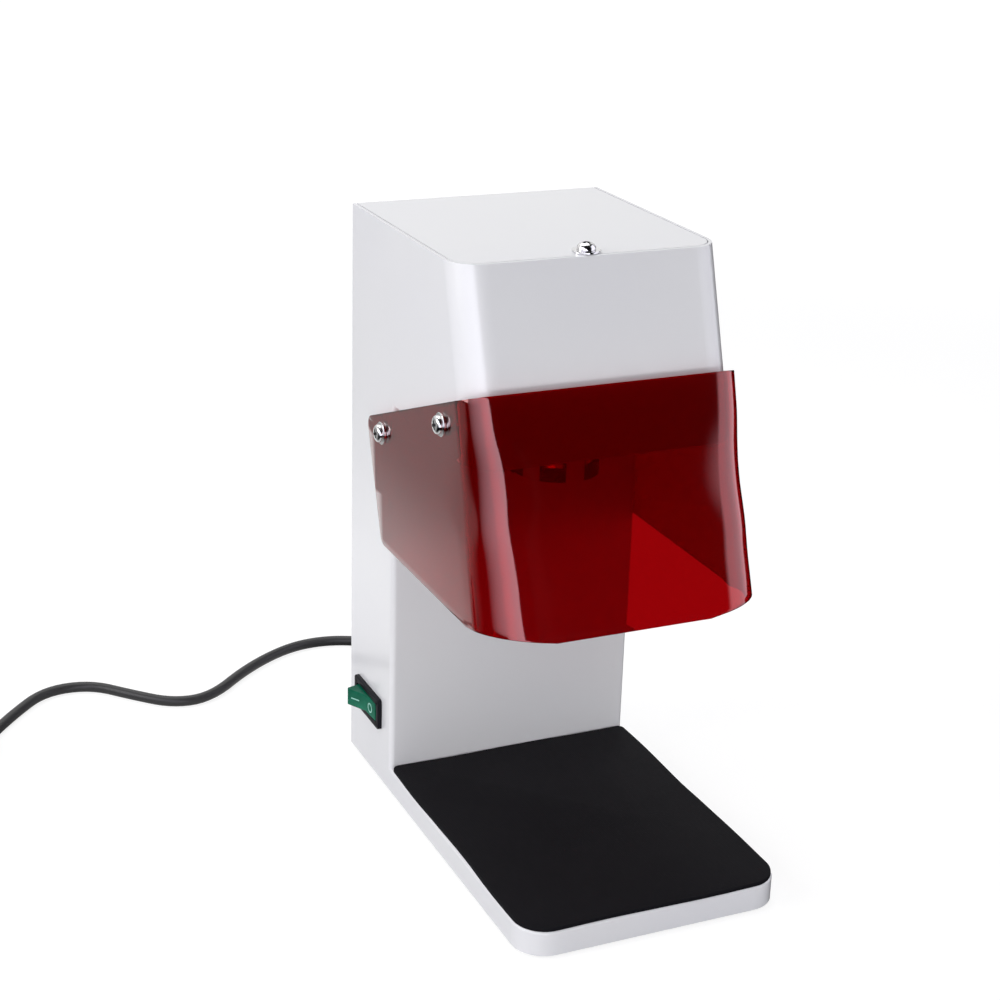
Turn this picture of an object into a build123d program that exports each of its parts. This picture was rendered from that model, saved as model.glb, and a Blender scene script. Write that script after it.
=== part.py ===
"""Benchtop light curing unit for a dental laboratory, as separate pieces.

A painted sheet-steel cabinet shaped like a C: a low tray with a rubber work mat, a column with
the mains parts, and a head with a halogen lamp.  A bent red acrylic shield hangs round the head.
Millimetres.  +Z is up, -Y is the side the user faces, and the origin is on the bench, under the
middle of the cabinet.
"""
from build123d import *
import math
import os

os.makedirs("parts", exist_ok=True)

# ---------------------------------------------------------------- cabinet
BODY_WIDTH = 120.0
BODY_DEPTH = 203.0
BODY_HEIGHT = 265.0
FOOT_DROP = 1.0            # the shell's lower edge stands this far above the bench
SHEET = 1.5                # steel of the shell
COLUMN_DEPTH = 52.5
TRAY_HEIGHT = 11.0
HEAD_CLEARANCE = 187.0     # lower edge of the shell to the underside of the head
HEAD_TOP_DEPTH = 117.5
HEAD_RAKE = 17.8           # degrees that the head's front leans out going down
HEAD_CORNER_R = 13.0
TRAY_CORNER_R = 14.0
COLUMN_EDGE_R = 2.5
BEND_R = 1.2               # outside radius of the folded lower edges

# ---------------------------------------------------------------- covers
LID_T = 1.5
LID_GAP = 0.5
LEDGE_WIDTH = 6.0
LEDGE_T = 1.5
LID_TAB_WIDTH = 24.0
LID_TAB_LENGTH = 16.0
LID_SCREW_INSET = 7.0      # lid screw behind the top front edge of the head
COVER_T = 1.2
COVER_GAP = 0.3
REAR_RECESS = 2.6          # rear cover sits this far inside the rear edge
FLANGE_WIDTH = 9.0
FLANGE_T = 1.5
COVER_SCREW_LOW = 22.0     # lowest screws above the shell's lower edge
COVER_SCREW_HIGH = 19.0    # highest screws below its top
COVER_SCREW_GRIP = 3.0     # thread past the flange
BASE_PLATE_T = 1.2
BASE_PLATE_RECESS = 3.0
STANDOFF_D = 8.0
REAR_TAB_LENGTH = 20.0
REAR_TAB_WIDTH = 16.0
REAR_TAB_T = 3.0
FOOT_D = 18.0
FOOT_INSET_X = 16.0
FOOT_INSET_FRONT = 24.0
FOOT_INSET_REAR = 20.0
FOOT_WELL = 2.5            # depth of the well that takes the screw's head
SLOT_W = 3.0
INTAKE_SLOT_LENGTH = 50.0
INTAKE_SLOTS = 8
INTAKE_PITCH = 7.0
INTAKE_HEIGHT = 75.0
GRILLE_RINGS = 3
GRILLE_EDGE = 2.0          # outer ring inside the fan's bore
GRILLE_SLOT_W = 3.8
GRILLE_PITCH = 7.0

# ---------------------------------------------------------------- work mat and shield
MAT_T = 1.7
MAT_INSET = 0.6
MAT_GAP = 0.3
SHIELD_T = 3.0
SHIELD_TOP_TILT = 20.8     # degrees that the shield's top edge climbs towards the front
SHIELD_REAR_INSET = 27.4   # its rear top corner in front of the rear edge
SHIELD_REAR_DROP = 11.5    # that corner below the underside of the head
SHIELD_BOTTOM_DROP = 65.0  # lower edge below the underside of the head
SHIELD_BOTTOM_INSET = 46.4
SHIELD_CORNER_R = 5.0
SHIELD_RISE = 30.0         # front top edge above the underside of the head
SHIELD_HEAD_GAP = 2.1      # between the head's front and the shield, at that edge
SHIELD_EXTRA_RAKE = 0.8    # degrees that the shield leans out more than the head
SHIELD_TOP_BEND_R = 15.0
SHIELD_BOTTOM_BEND_R = 21.0
SHIELD_NOTCH_REACH = 19.6  # from each front corner to where the lower edge starts to rise
SHIELD_NOTCH_TILT = 15.0   # degrees that it rises from there into the bend
SHIELD_TRIM = 12.0         # bent blank left above and below, before its edges are cut
SHIELD_SCREW_SPACING = 71.1
SHIELD_SCREW_EDGE = 8.4    # screw line below the top edge
SHIELD_SCREW_INSET = 17.1  # rear screw in front of the rear corner, along the edge

# ---------------------------------------------------------------- fasteners
M3 = 3.0
M4 = 4.0
THREAD_CLEARANCE = 0.1     # added to a screw's diameter where it is tapped
HOLE_CLEARANCE = 0.4       # added to a screw's diameter where it passes freely
M3_HEAD_D = 5.6
M3_HEAD_H = 2.0
M4_HEAD_D = 8.0
M4_HEAD_H = 2.4
M4_NUT_AF = 7.0
M4_NUT_H = 3.2
THREAD_RUN_OUT = 1.0       # thread standing past a nut
LID_HEAD_H = 3.0
WASHER_T = 1.0
SHIELD_WASHER_D = 10.0
LID_WASHER_D = 12.0
RECESS_W = 1.1             # cross recess in the screw heads
RECESS_DEPTH = 1.3

# ---------------------------------------------------------------- lamp
LAMP_REACH = 90.0          # lamp axis in front of the rear edge
LAMP_PLATE_T = 1.5
LAMP_PLATE_GAP = 0.5
LAMP_PLATE_SCREW_REACH = (61.5, 116.5)
SHROUD_D = 38.0
SHROUD_T = 1.0
SHROUD_DROP = 22.0
SHROUD_FLANGE_D = 50.0
SHROUD_LIP = 2.5
SHROUD_WINDOWS = 6
SHROUD_WINDOW_W = 10.0
SHROUD_WINDOW_H = 14.0
SHROUD_WINDOW_DROP = 2.0   # windows below the underside of the head
SHROUD_SCREWS = 3
SHROUD_SCREW_HEAD_D = 4.6
LAMP_VENTS = 9
LAMP_VENT_EDGE = 6.0       # slots behind the plate's front edge
LAMP_VENT_LENGTH = 14.0
LAMP_D = 35.0
LAMP_RIM_H = 2.0
LAMP_BOWL_H = 20.0
LAMP_BOWL_BELLY = 3.0      # dish inside its rim, at the belly
LAMP_BELLY_SHARE = 0.45    # height of the belly in the dish
LAMP_GLASS_T = 1.5
LAMP_NECK_D = 13.0
LAMP_NECK_H = 10.0
CAPSULE_D = 7.2
CAPSULE_H = 15.0
CAPSULE_BULB_GAP = 0.4     # bulb thinner than the pinch, all round
CAPSULE_TIP_R = 2.4
PIN_D = 1.0
PIN_SPACING = 4.0
PIN_LENGTH = 5.5
SOCKET_W = 18.0
SOCKET_D = 12.0
SOCKET_H = 12.0
SOCKET_BEVEL = 1.5
BRACKET_SPAN = 56.0
BRACKET_WIDTH = 14.0
BRACKET_T = 1.2
BRACKET_FOOT = 10.0
CUTOUT_D = 15.0
CUTOUT_H = 6.0
CUTOUT_X = 38.0
CUTOUT_REACH = 66.0

# ---------------------------------------------------------------- fan
FAN_W = 60.0
FAN_T = 15.0
FAN_DROP = 43.0            # fan's axis below the top
FAN_CORNER_R = 4.0
FAN_BORE_D = 56.8
FAN_HOLE_SPACING = 50.0
FAN_HUB_D = 27.0
FAN_TIP_GAP = 0.8
FAN_BLADES = 7
FAN_BLADE_T = 1.2
FAN_BLADE_CHORD = 12.0
FAN_BLADE_PITCH = 50.0
FAN_PLATE_T = 3.0
FAN_STRUT_W = 4.0
FAN_SHAFT_D = 3.0
FAN_SHAFT_CLEARANCE = 0.1
FAN_BEARING_D = 6.4
FAN_RUN_GAP = 0.5
FAN_RECESS = 1.0           # rotor inside the frame's rear face
FAN_CUP_T = 2.0
FAN_CUP_WALL = 1.5
FAN_AIR_GAP = 1.5          # stator inside the rotor's cup
FAN_SHAFT_FLOOR = 1.0      # hub left whole in front of the shaft
FAN_STRUT_TURNS = (90, 210, 330)

# ---------------------------------------------------------------- mains parts
SHELF_HEIGHT = 65.0
SHELF_T = 1.5
SHELF_DEPTH = 41.0
SHELF_GAP = 2.5            # shelf behind the column's front wall, clear of its corner bends
WIRE_HOLE_D = 8.0
WIRE_HOLE_X = 31.0
WIRE_HOLE_Y = 6.0          # behind the shelf's front edge
SHELF_FLANGE = 10.0
CORE_W = 57.0
CORE_H = 47.5
CORE_STACK = 22.0
CORE_LEG = 19.0
WINDING_T = 8.8
WINDING_GAP = 0.4
CLAMP_T = 1.2
CLAMP_WIDTH = 18.0
CLAMP_FOOT = 12.0
BLOCK_W = 32.0
BLOCK_D = 18.0
BLOCK_H = 16.0
BLOCK_X = 22.0
BLOCK_SETBACK = 12.0       # room in front of the block for its leads to turn
BLOCK_POLES = 3
BLOCK_PITCH = 10.0
BLOCK_BORE_D = 4.0
WIRE_D = 2.2
WIRE_BEND = 4.0
WIRE_INSERT = 3.0          # bare end inside the terminal block
WIRE_DROP = 14.0           # leads gather this far under the shelf
WIRE_TURN = 11.0           # room that a lead takes to turn off a switch blade

SWITCH_HEIGHT = 33.6
SWITCH_REACH = 25.4        # switch centre in front of the rear edge
BEZEL_L = 31.5
BEZEL_H = 15.0
BEZEL_T = 2.0
BEZEL_R = 1.5
SWITCH_OPEN_L = 26.0
SWITCH_OPEN_H = 9.2
SWITCH_WALL = 0.8
SWITCH_DEPTH = 17.0
SWITCH_FLOOR = 2.0
CUTOUT_CLEARANCE = 0.3
PIVOT_DEPTH = 1.5
PIVOT_D = 2.4
PIVOT_CLEARANCE = 0.1
ROCKER_SIDE_GAP = 0.3
ROCKER_HALF_L = 11.0
ROCKER_END_H = 7.0
ROCKER_MID_H = 4.4
ROCKER_SKIRT = 4.0
ROCKER_STEM_W = 3.0
ROCKER_STEM_L = 5.0
ROCKER_TILT = 16.0         # degrees either side of level
TAB_W = 4.8
TAB_T = 0.8
TAB_L = 8.0
TAB_PITCH = 9.0

# ---------------------------------------------------------------- lead
GLAND_HEIGHT = 25.0
GLAND_FLANGE_D = 15.0
GLAND_FLANGE_T = 3.0
GLAND_NECK_D = 10.6
GLAND_HOLE_GAP = 0.2
GLAND_COLLAR_D = 13.0
GLAND_COLLAR_T = 4.0
GLAND_TAIL_ROOT_D = 10.4
GLAND_TAIL_D = 7.4
GLAND_TAIL_L = 26.0
CORD_D = 5.2
COIL_TURN_R = 27.8         # middle of the coil's turns
COIL_COLUMNS = 3
COIL_LAYERS = 3
COIL_X = -263.0
COIL_Y = 162.4
PLUG_L = 36.0
PLUG_NOSE_W = 30.0
PLUG_T = 13.7
PLUG_PIN_D = 4.0
PLUG_PIN_L = 19.0
PLUG_PIN_SPACING = 18.6
PLUG_NOSE_L = 8.0          # length of the wide nose
PLUG_WAIST = 20.0          # waist of the grip behind the nose face
PLUG_WAIST_W = 20.0
PLUG_END_R = 2.0
PLUG_OFFSET = 24.0         # plug's axis beside the coil's centre
PLUG_NOSE = 27.0           # plug's nose beyond the coil's centre

# ---------------------------------------------------------------- levels and planes
HALF_W = BODY_WIDTH / 2
INNER_X = HALF_W - SHEET
REAR_Y = BODY_DEPTH / 2
FRONT_Y = -BODY_DEPTH / 2
SHELL_Z = FOOT_DROP
TOP_Z = SHELL_Z + BODY_HEIGHT
TRAY_Z = SHELL_Z + TRAY_HEIGHT
HEAD_Z = SHELL_Z + HEAD_CLEARANCE
SHIELD_TOP_Z = HEAD_Z + SHIELD_RISE
SHIELD_REAR_Z = HEAD_Z - SHIELD_REAR_DROP
SHIELD_LOW_Z = HEAD_Z - SHIELD_BOTTOM_DROP
COLUMN_Y = REAR_Y - COLUMN_DEPTH
HEAD_TOP_Y = REAR_Y - HEAD_TOP_DEPTH
RAKE = math.tan(math.radians(HEAD_RAKE))
COVER_OUT_Y = REAR_Y - REAR_RECESS
COVER_IN_Y = COVER_OUT_Y - COVER_T
FLANGE_IN_Y = COVER_IN_Y - FLANGE_T
PLATE_Z = SHELL_Z + BASE_PLATE_RECESS
PLATE_TOP_Z = PLATE_Z + BASE_PLATE_T
LID_Z = TOP_Z - LID_T
LEDGE_Z = LID_Z - LEDGE_T
FLANGE_X = INNER_X - FLANGE_WIDTH / 2
LAMP_Y = REAR_Y - LAMP_REACH
LAMP_PLATE_Z = HEAD_Z + SHEET
LAMP_PLATE_TOP_Z = LAMP_PLATE_Z + LAMP_PLATE_T
SHROUD_Z = HEAD_Z - SHROUD_DROP
LAMP_Z = SHROUD_Z + SHROUD_T
LAMP_TOP_Z = LAMP_Z + LAMP_RIM_H + LAMP_BOWL_H + LAMP_NECK_H
FAN_Z = TOP_Z - FAN_DROP
FAN_IN_Y = COVER_IN_Y - FAN_T
LID_SCREW_Y = HEAD_TOP_Y + LID_SCREW_INSET
FAR = 400.0                # longer than any piece, for cutting tools


def head_front(z, inset=0.0):
    """Y of the head's raked front at level z, moved in square to it by inset."""
    return HEAD_TOP_Y - (TOP_Z - z) * RAKE + inset / math.cos(math.radians(HEAD_RAKE))


def box(x0, x1, y0, y1, z0, z1):
    """A block between two corners."""
    centre = Pos((x0 + x1) / 2, (y0 + y1) / 2, (z0 + z1) / 2)
    return centre * Box(abs(x1 - x0), abs(y1 - y0), abs(z1 - z0))


def rod(diameter, start, end):
    """A round bar between two points."""
    run = Vector(*end) - Vector(*start)
    return extrude(Plane(origin=start, z_dir=run) * Circle(diameter / 2), run.length)


def save(name, pieces):
    """Write one node: a solid, or a group of separate like solids."""
    group = pieces if isinstance(pieces, list) else [pieces]
    solids = [solid for piece in group for solid in piece.solids()]
    shape = solids[0] if len(solids) == 1 else Compound(children=solids)
    export_step(shape, f"parts/{name}.step")
    return shape


# ================================================================= cabinet shell
def cabinet(inset, opened=0.0):
    """The C-shaped body, every wall moved in by inset; opened runs it out past its open faces."""
    top = TOP_Z + opened
    bottom = SHELL_Z - opened
    rear = REAR_Y + opened
    head_z = HEAD_Z + inset
    side = [
        (rear, bottom),
        (FRONT_Y + inset, bottom),
        (FRONT_Y + inset, TRAY_Z - inset),
        (COLUMN_Y + inset, TRAY_Z - inset),
        (COLUMN_Y + inset, head_z),
        (head_front(head_z, inset), head_z),
        (head_front(top, inset), top),
        (rear, top),
    ]
    half = HALF_W - inset
    solid = extrude(make_face(Plane.YZ * Polyline(*side, close=True)), half, both=True)

    def uprights(y, z):
        return solid.edges().filter_by(
            lambda e: abs(e.center().Y - y) < 0.1
            and abs(e.center().Z - z) < 0.1
            and abs(abs(e.center().X) - half) < 0.1
        )

    head_mid = (head_front(head_z, inset) + head_front(top, inset)) / 2
    solid = fillet(uprights(head_mid, (head_z + top) / 2), max(HEAD_CORNER_R - inset, 1.0))
    tray_mid = (bottom + TRAY_Z - inset) / 2
    solid = fillet(uprights(FRONT_Y + inset, tray_mid), max(TRAY_CORNER_R - inset, 1.0))
    column_mid = (TRAY_Z - inset + head_z) / 2
    return fillet(uprights(COLUMN_Y + inset, column_mid), max(COLUMN_EDGE_R - inset, 0.5))


def level_slice(solid, z0, z1):
    return solid & box(-FAR, FAR, -FAR, FAR, z0, z1)


def folded_edges(solid):
    """The outside folds round the tray's top and round the head's underside."""
    def on_fold(edge):
        c = edge.center()
        tray = abs(c.Z - TRAY_Z) < 0.05 and c.Y < COLUMN_Y - 0.5
        head = abs(c.Z - HEAD_Z) < 0.05 and c.Y < COLUMN_Y - 0.5
        return tray or head
    return solid.edges().filter_by(on_fold)


def main_shell():
    outer = cabinet(0.0)
    outer = fillet(folded_edges(outer), BEND_R)
    hollow = cabinet(SHEET, opened=10.0)
    shell = outer - hollow

    ledge = level_slice(hollow - cabinet(SHEET + LEDGE_WIDTH, opened=10.0), LEDGE_Z, LID_Z)
    ledge &= box(-FAR, FAR, -FAR, FLANGE_IN_Y + FLANGE_T, 0, FAR)
    tab = level_slice(hollow, LEDGE_Z, LID_Z) & box(
        -LID_TAB_WIDTH / 2, LID_TAB_WIDTH / 2, -FAR, HEAD_TOP_Y + LID_TAB_LENGTH, 0, FAR
    )
    frame = box(-INNER_X, INNER_X, FLANGE_IN_Y, COVER_IN_Y, PLATE_Z, LID_Z)
    window_x = INNER_X - FLANGE_WIDTH
    frame -= box(-window_x, window_x, 0, FAR, PLATE_Z + FLANGE_WIDTH, LID_Z - FLANGE_WIDTH)
    shell = shell + ledge + tab + frame

    for x, y in front_foot_places():
        shell += rod(STANDOFF_D, (x, y, PLATE_TOP_Z), (x, y, TRAY_Z - SHEET))
    for side in (-1, 1):
        y = rear_foot_y()
        shell += box(
            side * INNER_X, side * (INNER_X - REAR_TAB_LENGTH),
            y - REAR_TAB_WIDTH / 2, y + REAR_TAB_WIDTH / 2,
            PLATE_TOP_Z, PLATE_TOP_Z + REAR_TAB_T,
        )

    # the lamp plate drops on to a flange round this opening
    shell -= box(
        -INNER_X + FLANGE_WIDTH, INNER_X - FLANGE_WIDTH,
        head_front(HEAD_Z, SHEET) + FLANGE_WIDTH, COLUMN_Y - LEDGE_WIDTH,
        HEAD_Z - SHEET, LAMP_PLATE_Z,
    )
    shell -= lid_screw_hole(M4 + THREAD_CLEARANCE)
    for x, z in cover_screw_places():
        shell -= rod(M4 + THREAD_CLEARANCE, (x, FLANGE_IN_Y - 1, z), (x, COVER_IN_Y + 1, z))
    for x, y in front_foot_places():
        shell -= rod(M3 + THREAD_CLEARANCE, (x, y, 0), (x, y, TRAY_Z - SHEET))
    for x, y in rear_foot_places():
        shell -= rod(M3 + THREAD_CLEARANCE, (x, y, 0), (x, y, PLATE_TOP_Z + REAR_TAB_T + 1))
    for x, y in lamp_plate_screw_places():
        shell -= rod(M3 + HOLE_CLEARANCE, (x, y, HEAD_Z - 1), (x, y, LAMP_PLATE_Z + 1))
    for side in (-1, 1):
        for y, z in shield_screw_places():
            hole = M4 + HOLE_CLEARANCE
            shell -= rod(hole, (side * (INNER_X - 1), y, z), (side * (HALF_W + 1), y, z))
    return shell - switch_cutout()


# ================================================================= places shared by the pieces
def front_foot_places():
    y = FRONT_Y + FOOT_INSET_FRONT
    return [(side * (HALF_W - FOOT_INSET_X), y) for side in (-1, 1)]


def rear_foot_y():
    return REAR_Y - FOOT_INSET_REAR


def rear_foot_places():
    return [(side * (HALF_W - FOOT_INSET_X), rear_foot_y()) for side in (-1, 1)]


def cover_screw_places():
    low = SHELL_Z + COVER_SCREW_LOW
    high = TOP_Z - COVER_SCREW_HIGH
    return [(side * FLANGE_X, z) for side in (-1, 1) for z in (low, (low + high) / 2, high)]


def lamp_plate_screw_places():
    ys = [REAR_Y - reach for reach in LAMP_PLATE_SCREW_REACH]
    return [(side * FLANGE_X, y) for side in (-1, 1) for y in ys]


def fan_screw_places():
    half = FAN_HOLE_SPACING / 2
    return [(x, FAN_Z + z) for x in (-half, half) for z in (-half, half)]


def shield_screw_places():
    """(y, z) of the two screws on each side, on a line parallel to the shield's top edge."""
    tilt = math.radians(SHIELD_TOP_TILT)
    along = (-math.cos(tilt), math.sin(tilt))
    down = (-math.sin(tilt), -math.cos(tilt))
    corner = (REAR_Y - SHIELD_REAR_INSET, SHIELD_REAR_Z)
    places = []
    for run in (SHIELD_SCREW_INSET, SHIELD_SCREW_INSET + SHIELD_SCREW_SPACING):
        y = corner[0] + run * along[0] + SHIELD_SCREW_EDGE * down[0]
        z = corner[1] + run * along[1] + SHIELD_SCREW_EDGE * down[1]
        places.append((y, z))
    return places


def lid_screw_hole(diameter):
    return rod(diameter, (0, LID_SCREW_Y, LEDGE_Z - 1), (0, LID_SCREW_Y, TOP_Z + 1))


# ================================================================= fasteners
def pan_screw(thread, head_d, head_h, length):
    """A pan-head screw standing on z = 0, head up, with a cross recess."""
    head = Pos(0, 0, head_h / 2) * Cylinder(head_d / 2, head_h)
    head = fillet(head.edges().group_by(Axis.Z)[-1], head_h * 0.45)
    for arm in ((RECESS_W, head_d * 0.55), (head_d * 0.55, RECESS_W)):
        head -= Pos(0, 0, head_h) * Box(arm[0], arm[1], 2 * RECESS_DEPTH)
    return head + Pos(0, 0, -length / 2) * Cylinder(thread / 2, length)


def placed(piece, point, direction):
    """Move a piece that stands on z = 0 to a point, with its +Z along direction."""
    return Plane(origin=point, z_dir=direction).location * piece


def washer(diameter, bore):
    disc = Cylinder(diameter / 2, WASHER_T) - Cylinder(bore / 2, 2 * WASHER_T)
    return Pos(0, 0, WASHER_T / 2) * disc


def hex_nut():
    body = extrude(RegularPolygon(M4_NUT_AF / 2, 6, major_radius=False), M4_NUT_H)
    return body - Cylinder((M4 + THREAD_CLEARANCE) / 2, 4 * M4_NUT_H)


# ================================================================= lid, rear cover, base
def top_lid():
    plan = level_slice(cabinet(SHEET + LID_GAP, opened=20.0), LID_Z, TOP_Z)
    lid = plan & box(-FAR, FAR, -FAR, REAR_Y, 0, FAR)
    return lid - lid_screw_hole(M4 + HOLE_CLEARANCE)


def rear_cover():
    x = INNER_X - COVER_GAP
    cover = box(-x, x, COVER_IN_Y, COVER_OUT_Y, PLATE_Z + COVER_GAP, LID_Z - COVER_GAP)
    for px, pz in cover_screw_places() + fan_screw_places():
        cover -= rod(M4 + HOLE_CLEARANCE, (px, COVER_IN_Y - 1, pz), (px, COVER_OUT_Y + 1, pz))
    gland_z = SHELL_Z + GLAND_HEIGHT
    hole = GLAND_NECK_D + GLAND_HOLE_GAP
    cover -= rod(hole, (0, COVER_IN_Y - 1, gland_z), (0, COVER_OUT_Y + 1, gland_z))
    cover -= fan_grille()
    for row in range(INTAKE_SLOTS):
        z = SHELL_Z + INTAKE_HEIGHT + row * INTAKE_PITCH
        cover -= box(
            -INTAKE_SLOT_LENGTH / 2, INTAKE_SLOT_LENGTH / 2, COVER_IN_Y - 1, COVER_OUT_Y + 1,
            z, z + SLOT_W,
        )
    return cover


def fan_grille():
    """Three rings of arched slots in front of the fan, crossed by four spokes."""
    place = Plane(origin=(0, COVER_IN_Y - 1, FAN_Z), z_dir=(0, 1, 0)).location
    depth = COVER_T + 2
    rings = None
    for ring in range(GRILLE_RINGS):
        outer = FAN_BORE_D / 2 - GRILLE_EDGE - ring * GRILLE_PITCH
        slot = Cylinder(outer, depth) - Cylinder(outer - GRILLE_SLOT_W, depth)
        rings = slot if rings is None else rings + slot
    for turn in (45, 135):
        rings -= Rot(0, 0, turn) * Box(FAN_BORE_D, SLOT_W, depth)
    return place * Pos(0, 0, depth / 2) * rings


def base_plate():
    plan = cabinet(SHEET + COVER_GAP, opened=10.0)
    plate = level_slice(plan, PLATE_Z, PLATE_TOP_Z)
    plate &= box(-FAR, FAR, -FAR, FLANGE_IN_Y - COVER_GAP, 0, FAR)
    for x, y in front_foot_places() + rear_foot_places():
        plate -= rod(M3 + HOLE_CLEARANCE, (x, y, PLATE_Z - 1), (x, y, PLATE_TOP_Z + 1))
    for row in range(INTAKE_SLOTS // 2):
        y = COLUMN_Y + SHEET + SLOT_W + row * INTAKE_PITCH
        plate -= box(-INTAKE_SLOT_LENGTH / 2, 0, y, y + SLOT_W, PLATE_Z - 1, PLATE_TOP_Z + 1)
    return plate


def rubber_feet():
    feet = []
    for x, y in front_foot_places() + rear_foot_places():
        foot = Pos(0, 0, PLATE_Z / 2) * Cylinder(FOOT_D / 2, PLATE_Z)
        foot = fillet(foot.edges().group_by(Axis.Z)[0], FOOT_DROP * 0.6)
        foot -= Pos(0, 0, FOOT_WELL / 2) * Cylinder(M3_HEAD_D / 2 + HOLE_CLEARANCE, FOOT_WELL)
        foot -= Cylinder((M3 + HOLE_CLEARANCE) / 2, 4 * PLATE_Z)
        feet.append(Pos(x, y, 0) * foot)
    return feet


def foot_screws():
    screws = []
    front_top = TRAY_Z - SHEET - 0.5
    rear_top = PLATE_TOP_Z + REAR_TAB_T + THREAD_RUN_OUT
    for places, top in ((front_foot_places(), front_top), (rear_foot_places(), rear_top)):
        screw = pan_screw(M3, M3_HEAD_D, M3_HEAD_H, top - FOOT_WELL)
        screws += [placed(screw, (x, y, FOOT_WELL), (0, 0, -1)) for x, y in places]
    return screws


def work_mat():
    plan = cabinet(MAT_INSET, opened=0.0)
    slab = level_slice(plan, SHELL_Z, SHELL_Z + MAT_T)
    slab &= box(-FAR, FAR, -FAR, COLUMN_Y - MAT_GAP, 0, FAR)
    mat = Pos(0, 0, TRAY_Z - SHELL_Z) * slab
    return fillet(mat.edges().group_by(Axis.Z)[-1], MAT_T * 0.35)


# ================================================================= shield
def shield_front(z):
    """Y of the shield's outer front face at level z."""
    lean = math.tan(math.radians(HEAD_RAKE + SHIELD_EXTRA_RAKE))
    return head_front(SHIELD_TOP_Z) - SHIELD_HEAD_GAP - SHIELD_T - (SHIELD_TOP_Z - z) * lean


def shield_block(z, inset):
    """Plan of the bent shield at level z, its outside moved in by inset."""
    share = (SHIELD_TOP_Z - z) / (SHIELD_TOP_Z - SHIELD_LOW_Z)
    bend = SHIELD_TOP_BEND_R + share * (SHIELD_BOTTOM_BEND_R - SHIELD_TOP_BEND_R)
    front = shield_front(z) + inset
    half = HALF_W + SHIELD_T - inset
    plan = Pos(0, (front + REAR_Y) / 2) * Rectangle(2 * half, REAR_Y - front)
    corners = plan.vertices().group_by(Axis.Y)[0]
    return Pos(0, 0, z) * fillet(corners, bend - inset)


def shield_screw_hole_x(side):
    return (side * (HALF_W - 1), side * (HALF_W + SHIELD_T + 1))


def shield_notch(flank):
    """Wedge cut off under a front corner, where the bent sheet's lower edge rises."""
    out = (flank * math.sqrt(0.5), -math.sqrt(0.5))
    corner = (flank * (HALF_W + SHIELD_T), shield_front(SHIELD_LOW_Z))
    start = [c - SHIELD_NOTCH_REACH * o for c, o in zip(corner, out)]
    lean = math.tan(math.radians(SHIELD_NOTCH_TILT))
    level = Plane(origin=(*start, SHIELD_LOW_Z), z_dir=(-lean * out[0], -lean * out[1], 1))
    return level * Pos(0, 0, -SHIELD_TRIM / 2) * Box(FAR, FAR, SHIELD_TRIM)


def shield():
    low = SHIELD_LOW_Z - SHIELD_TRIM
    high = SHIELD_TOP_Z + SHIELD_TRIM
    outside = loft([shield_block(low, 0.0), shield_block(high, 0.0)])
    inside = loft([shield_block(low - 1.0, SHIELD_T), shield_block(high + 1.0, SHIELD_T)])
    sheet = outside - inside
    rear_y = REAR_Y - SHIELD_REAR_INSET
    low_y = REAR_Y - SHIELD_BOTTOM_INSET
    ahead_z = SHIELD_REAR_Z + (rear_y + FAR) * math.tan(math.radians(SHIELD_TOP_TILT))
    side = [(rear_y, SHIELD_REAR_Z), (low_y, SHIELD_LOW_Z), (-FAR, SHIELD_LOW_Z), (-FAR, ahead_z)]
    blank = extrude(make_face(Plane.YZ * Polyline(*side, close=True)), FAR, both=True)
    rear_corners = blank.edges().filter_by(Axis.X).filter_by(lambda e: e.center().Y > low_y - 0.1)
    sheet &= fillet(rear_corners, SHIELD_CORNER_R)
    for flank in (-1, 1):
        sheet -= shield_notch(flank)
        x0, x1 = shield_screw_hole_x(flank)
        for y, z in shield_screw_places():
            sheet -= rod(M4 + HOLE_CLEARANCE, (x0, y, z), (x1, y, z))
    return sheet


def shield_fasteners():
    """Washers, screws and inner nuts of the shield."""
    washers, screws, nuts = [], [], []
    face = HALF_W + SHIELD_T
    length = face + WASHER_T - INNER_X + M4_NUT_H + THREAD_RUN_OUT
    for flank in (-1, 1):
        for y, z in shield_screw_places():
            out = (flank, 0, 0)
            ring = washer(SHIELD_WASHER_D, M4 + HOLE_CLEARANCE)
            washers.append(placed(ring, (flank * face, y, z), out))
            screw = pan_screw(M4, M4_HEAD_D, M4_HEAD_H, length)
            screws.append(placed(screw, (flank * (face + WASHER_T), y, z), out))
            nuts.append(placed(hex_nut(), (flank * INNER_X, y, z), (-flank, 0, 0)))
    return washers, screws, nuts


# ================================================================= lamp
def lamp_plate():
    front = head_front(LAMP_PLATE_TOP_Z, SHEET) + LAMP_PLATE_GAP
    x = INNER_X - LAMP_PLATE_GAP
    rear = COLUMN_Y + SHEET - LAMP_PLATE_GAP
    plate = box(-x, x, front, rear, LAMP_PLATE_Z, LAMP_PLATE_TOP_Z)
    corners = plate.edges().filter_by(Axis.Z).group_by(Axis.Y)[0]
    plate = fillet(corners, HEAD_CORNER_R)
    plate -= Pos(0, LAMP_Y, LAMP_PLATE_Z) * Cylinder(SHROUD_D / 2 + COVER_GAP, 4 * LAMP_PLATE_T)
    for px, py in lamp_plate_screw_places():
        plate -= rod(M3 + THREAD_CLEARANCE, (px, py, HEAD_Z), (px, py, LAMP_PLATE_TOP_Z + 1))
    for px, py in shroud_screw_places() + bracket_screw_places():
        plate -= rod(M3 + THREAD_CLEARANCE, (px, py, HEAD_Z), (px, py, LAMP_PLATE_TOP_Z + 1))
    vent_y = front + LAMP_VENT_EDGE
    for slot in range(LAMP_VENTS):
        x = (slot - (LAMP_VENTS - 1) / 2) * INTAKE_PITCH - SLOT_W / 2
        plate -= box(x, x + SLOT_W, vent_y, vent_y + LAMP_VENT_LENGTH, HEAD_Z, LAMP_PLATE_TOP_Z + 1)
    return plate


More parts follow.
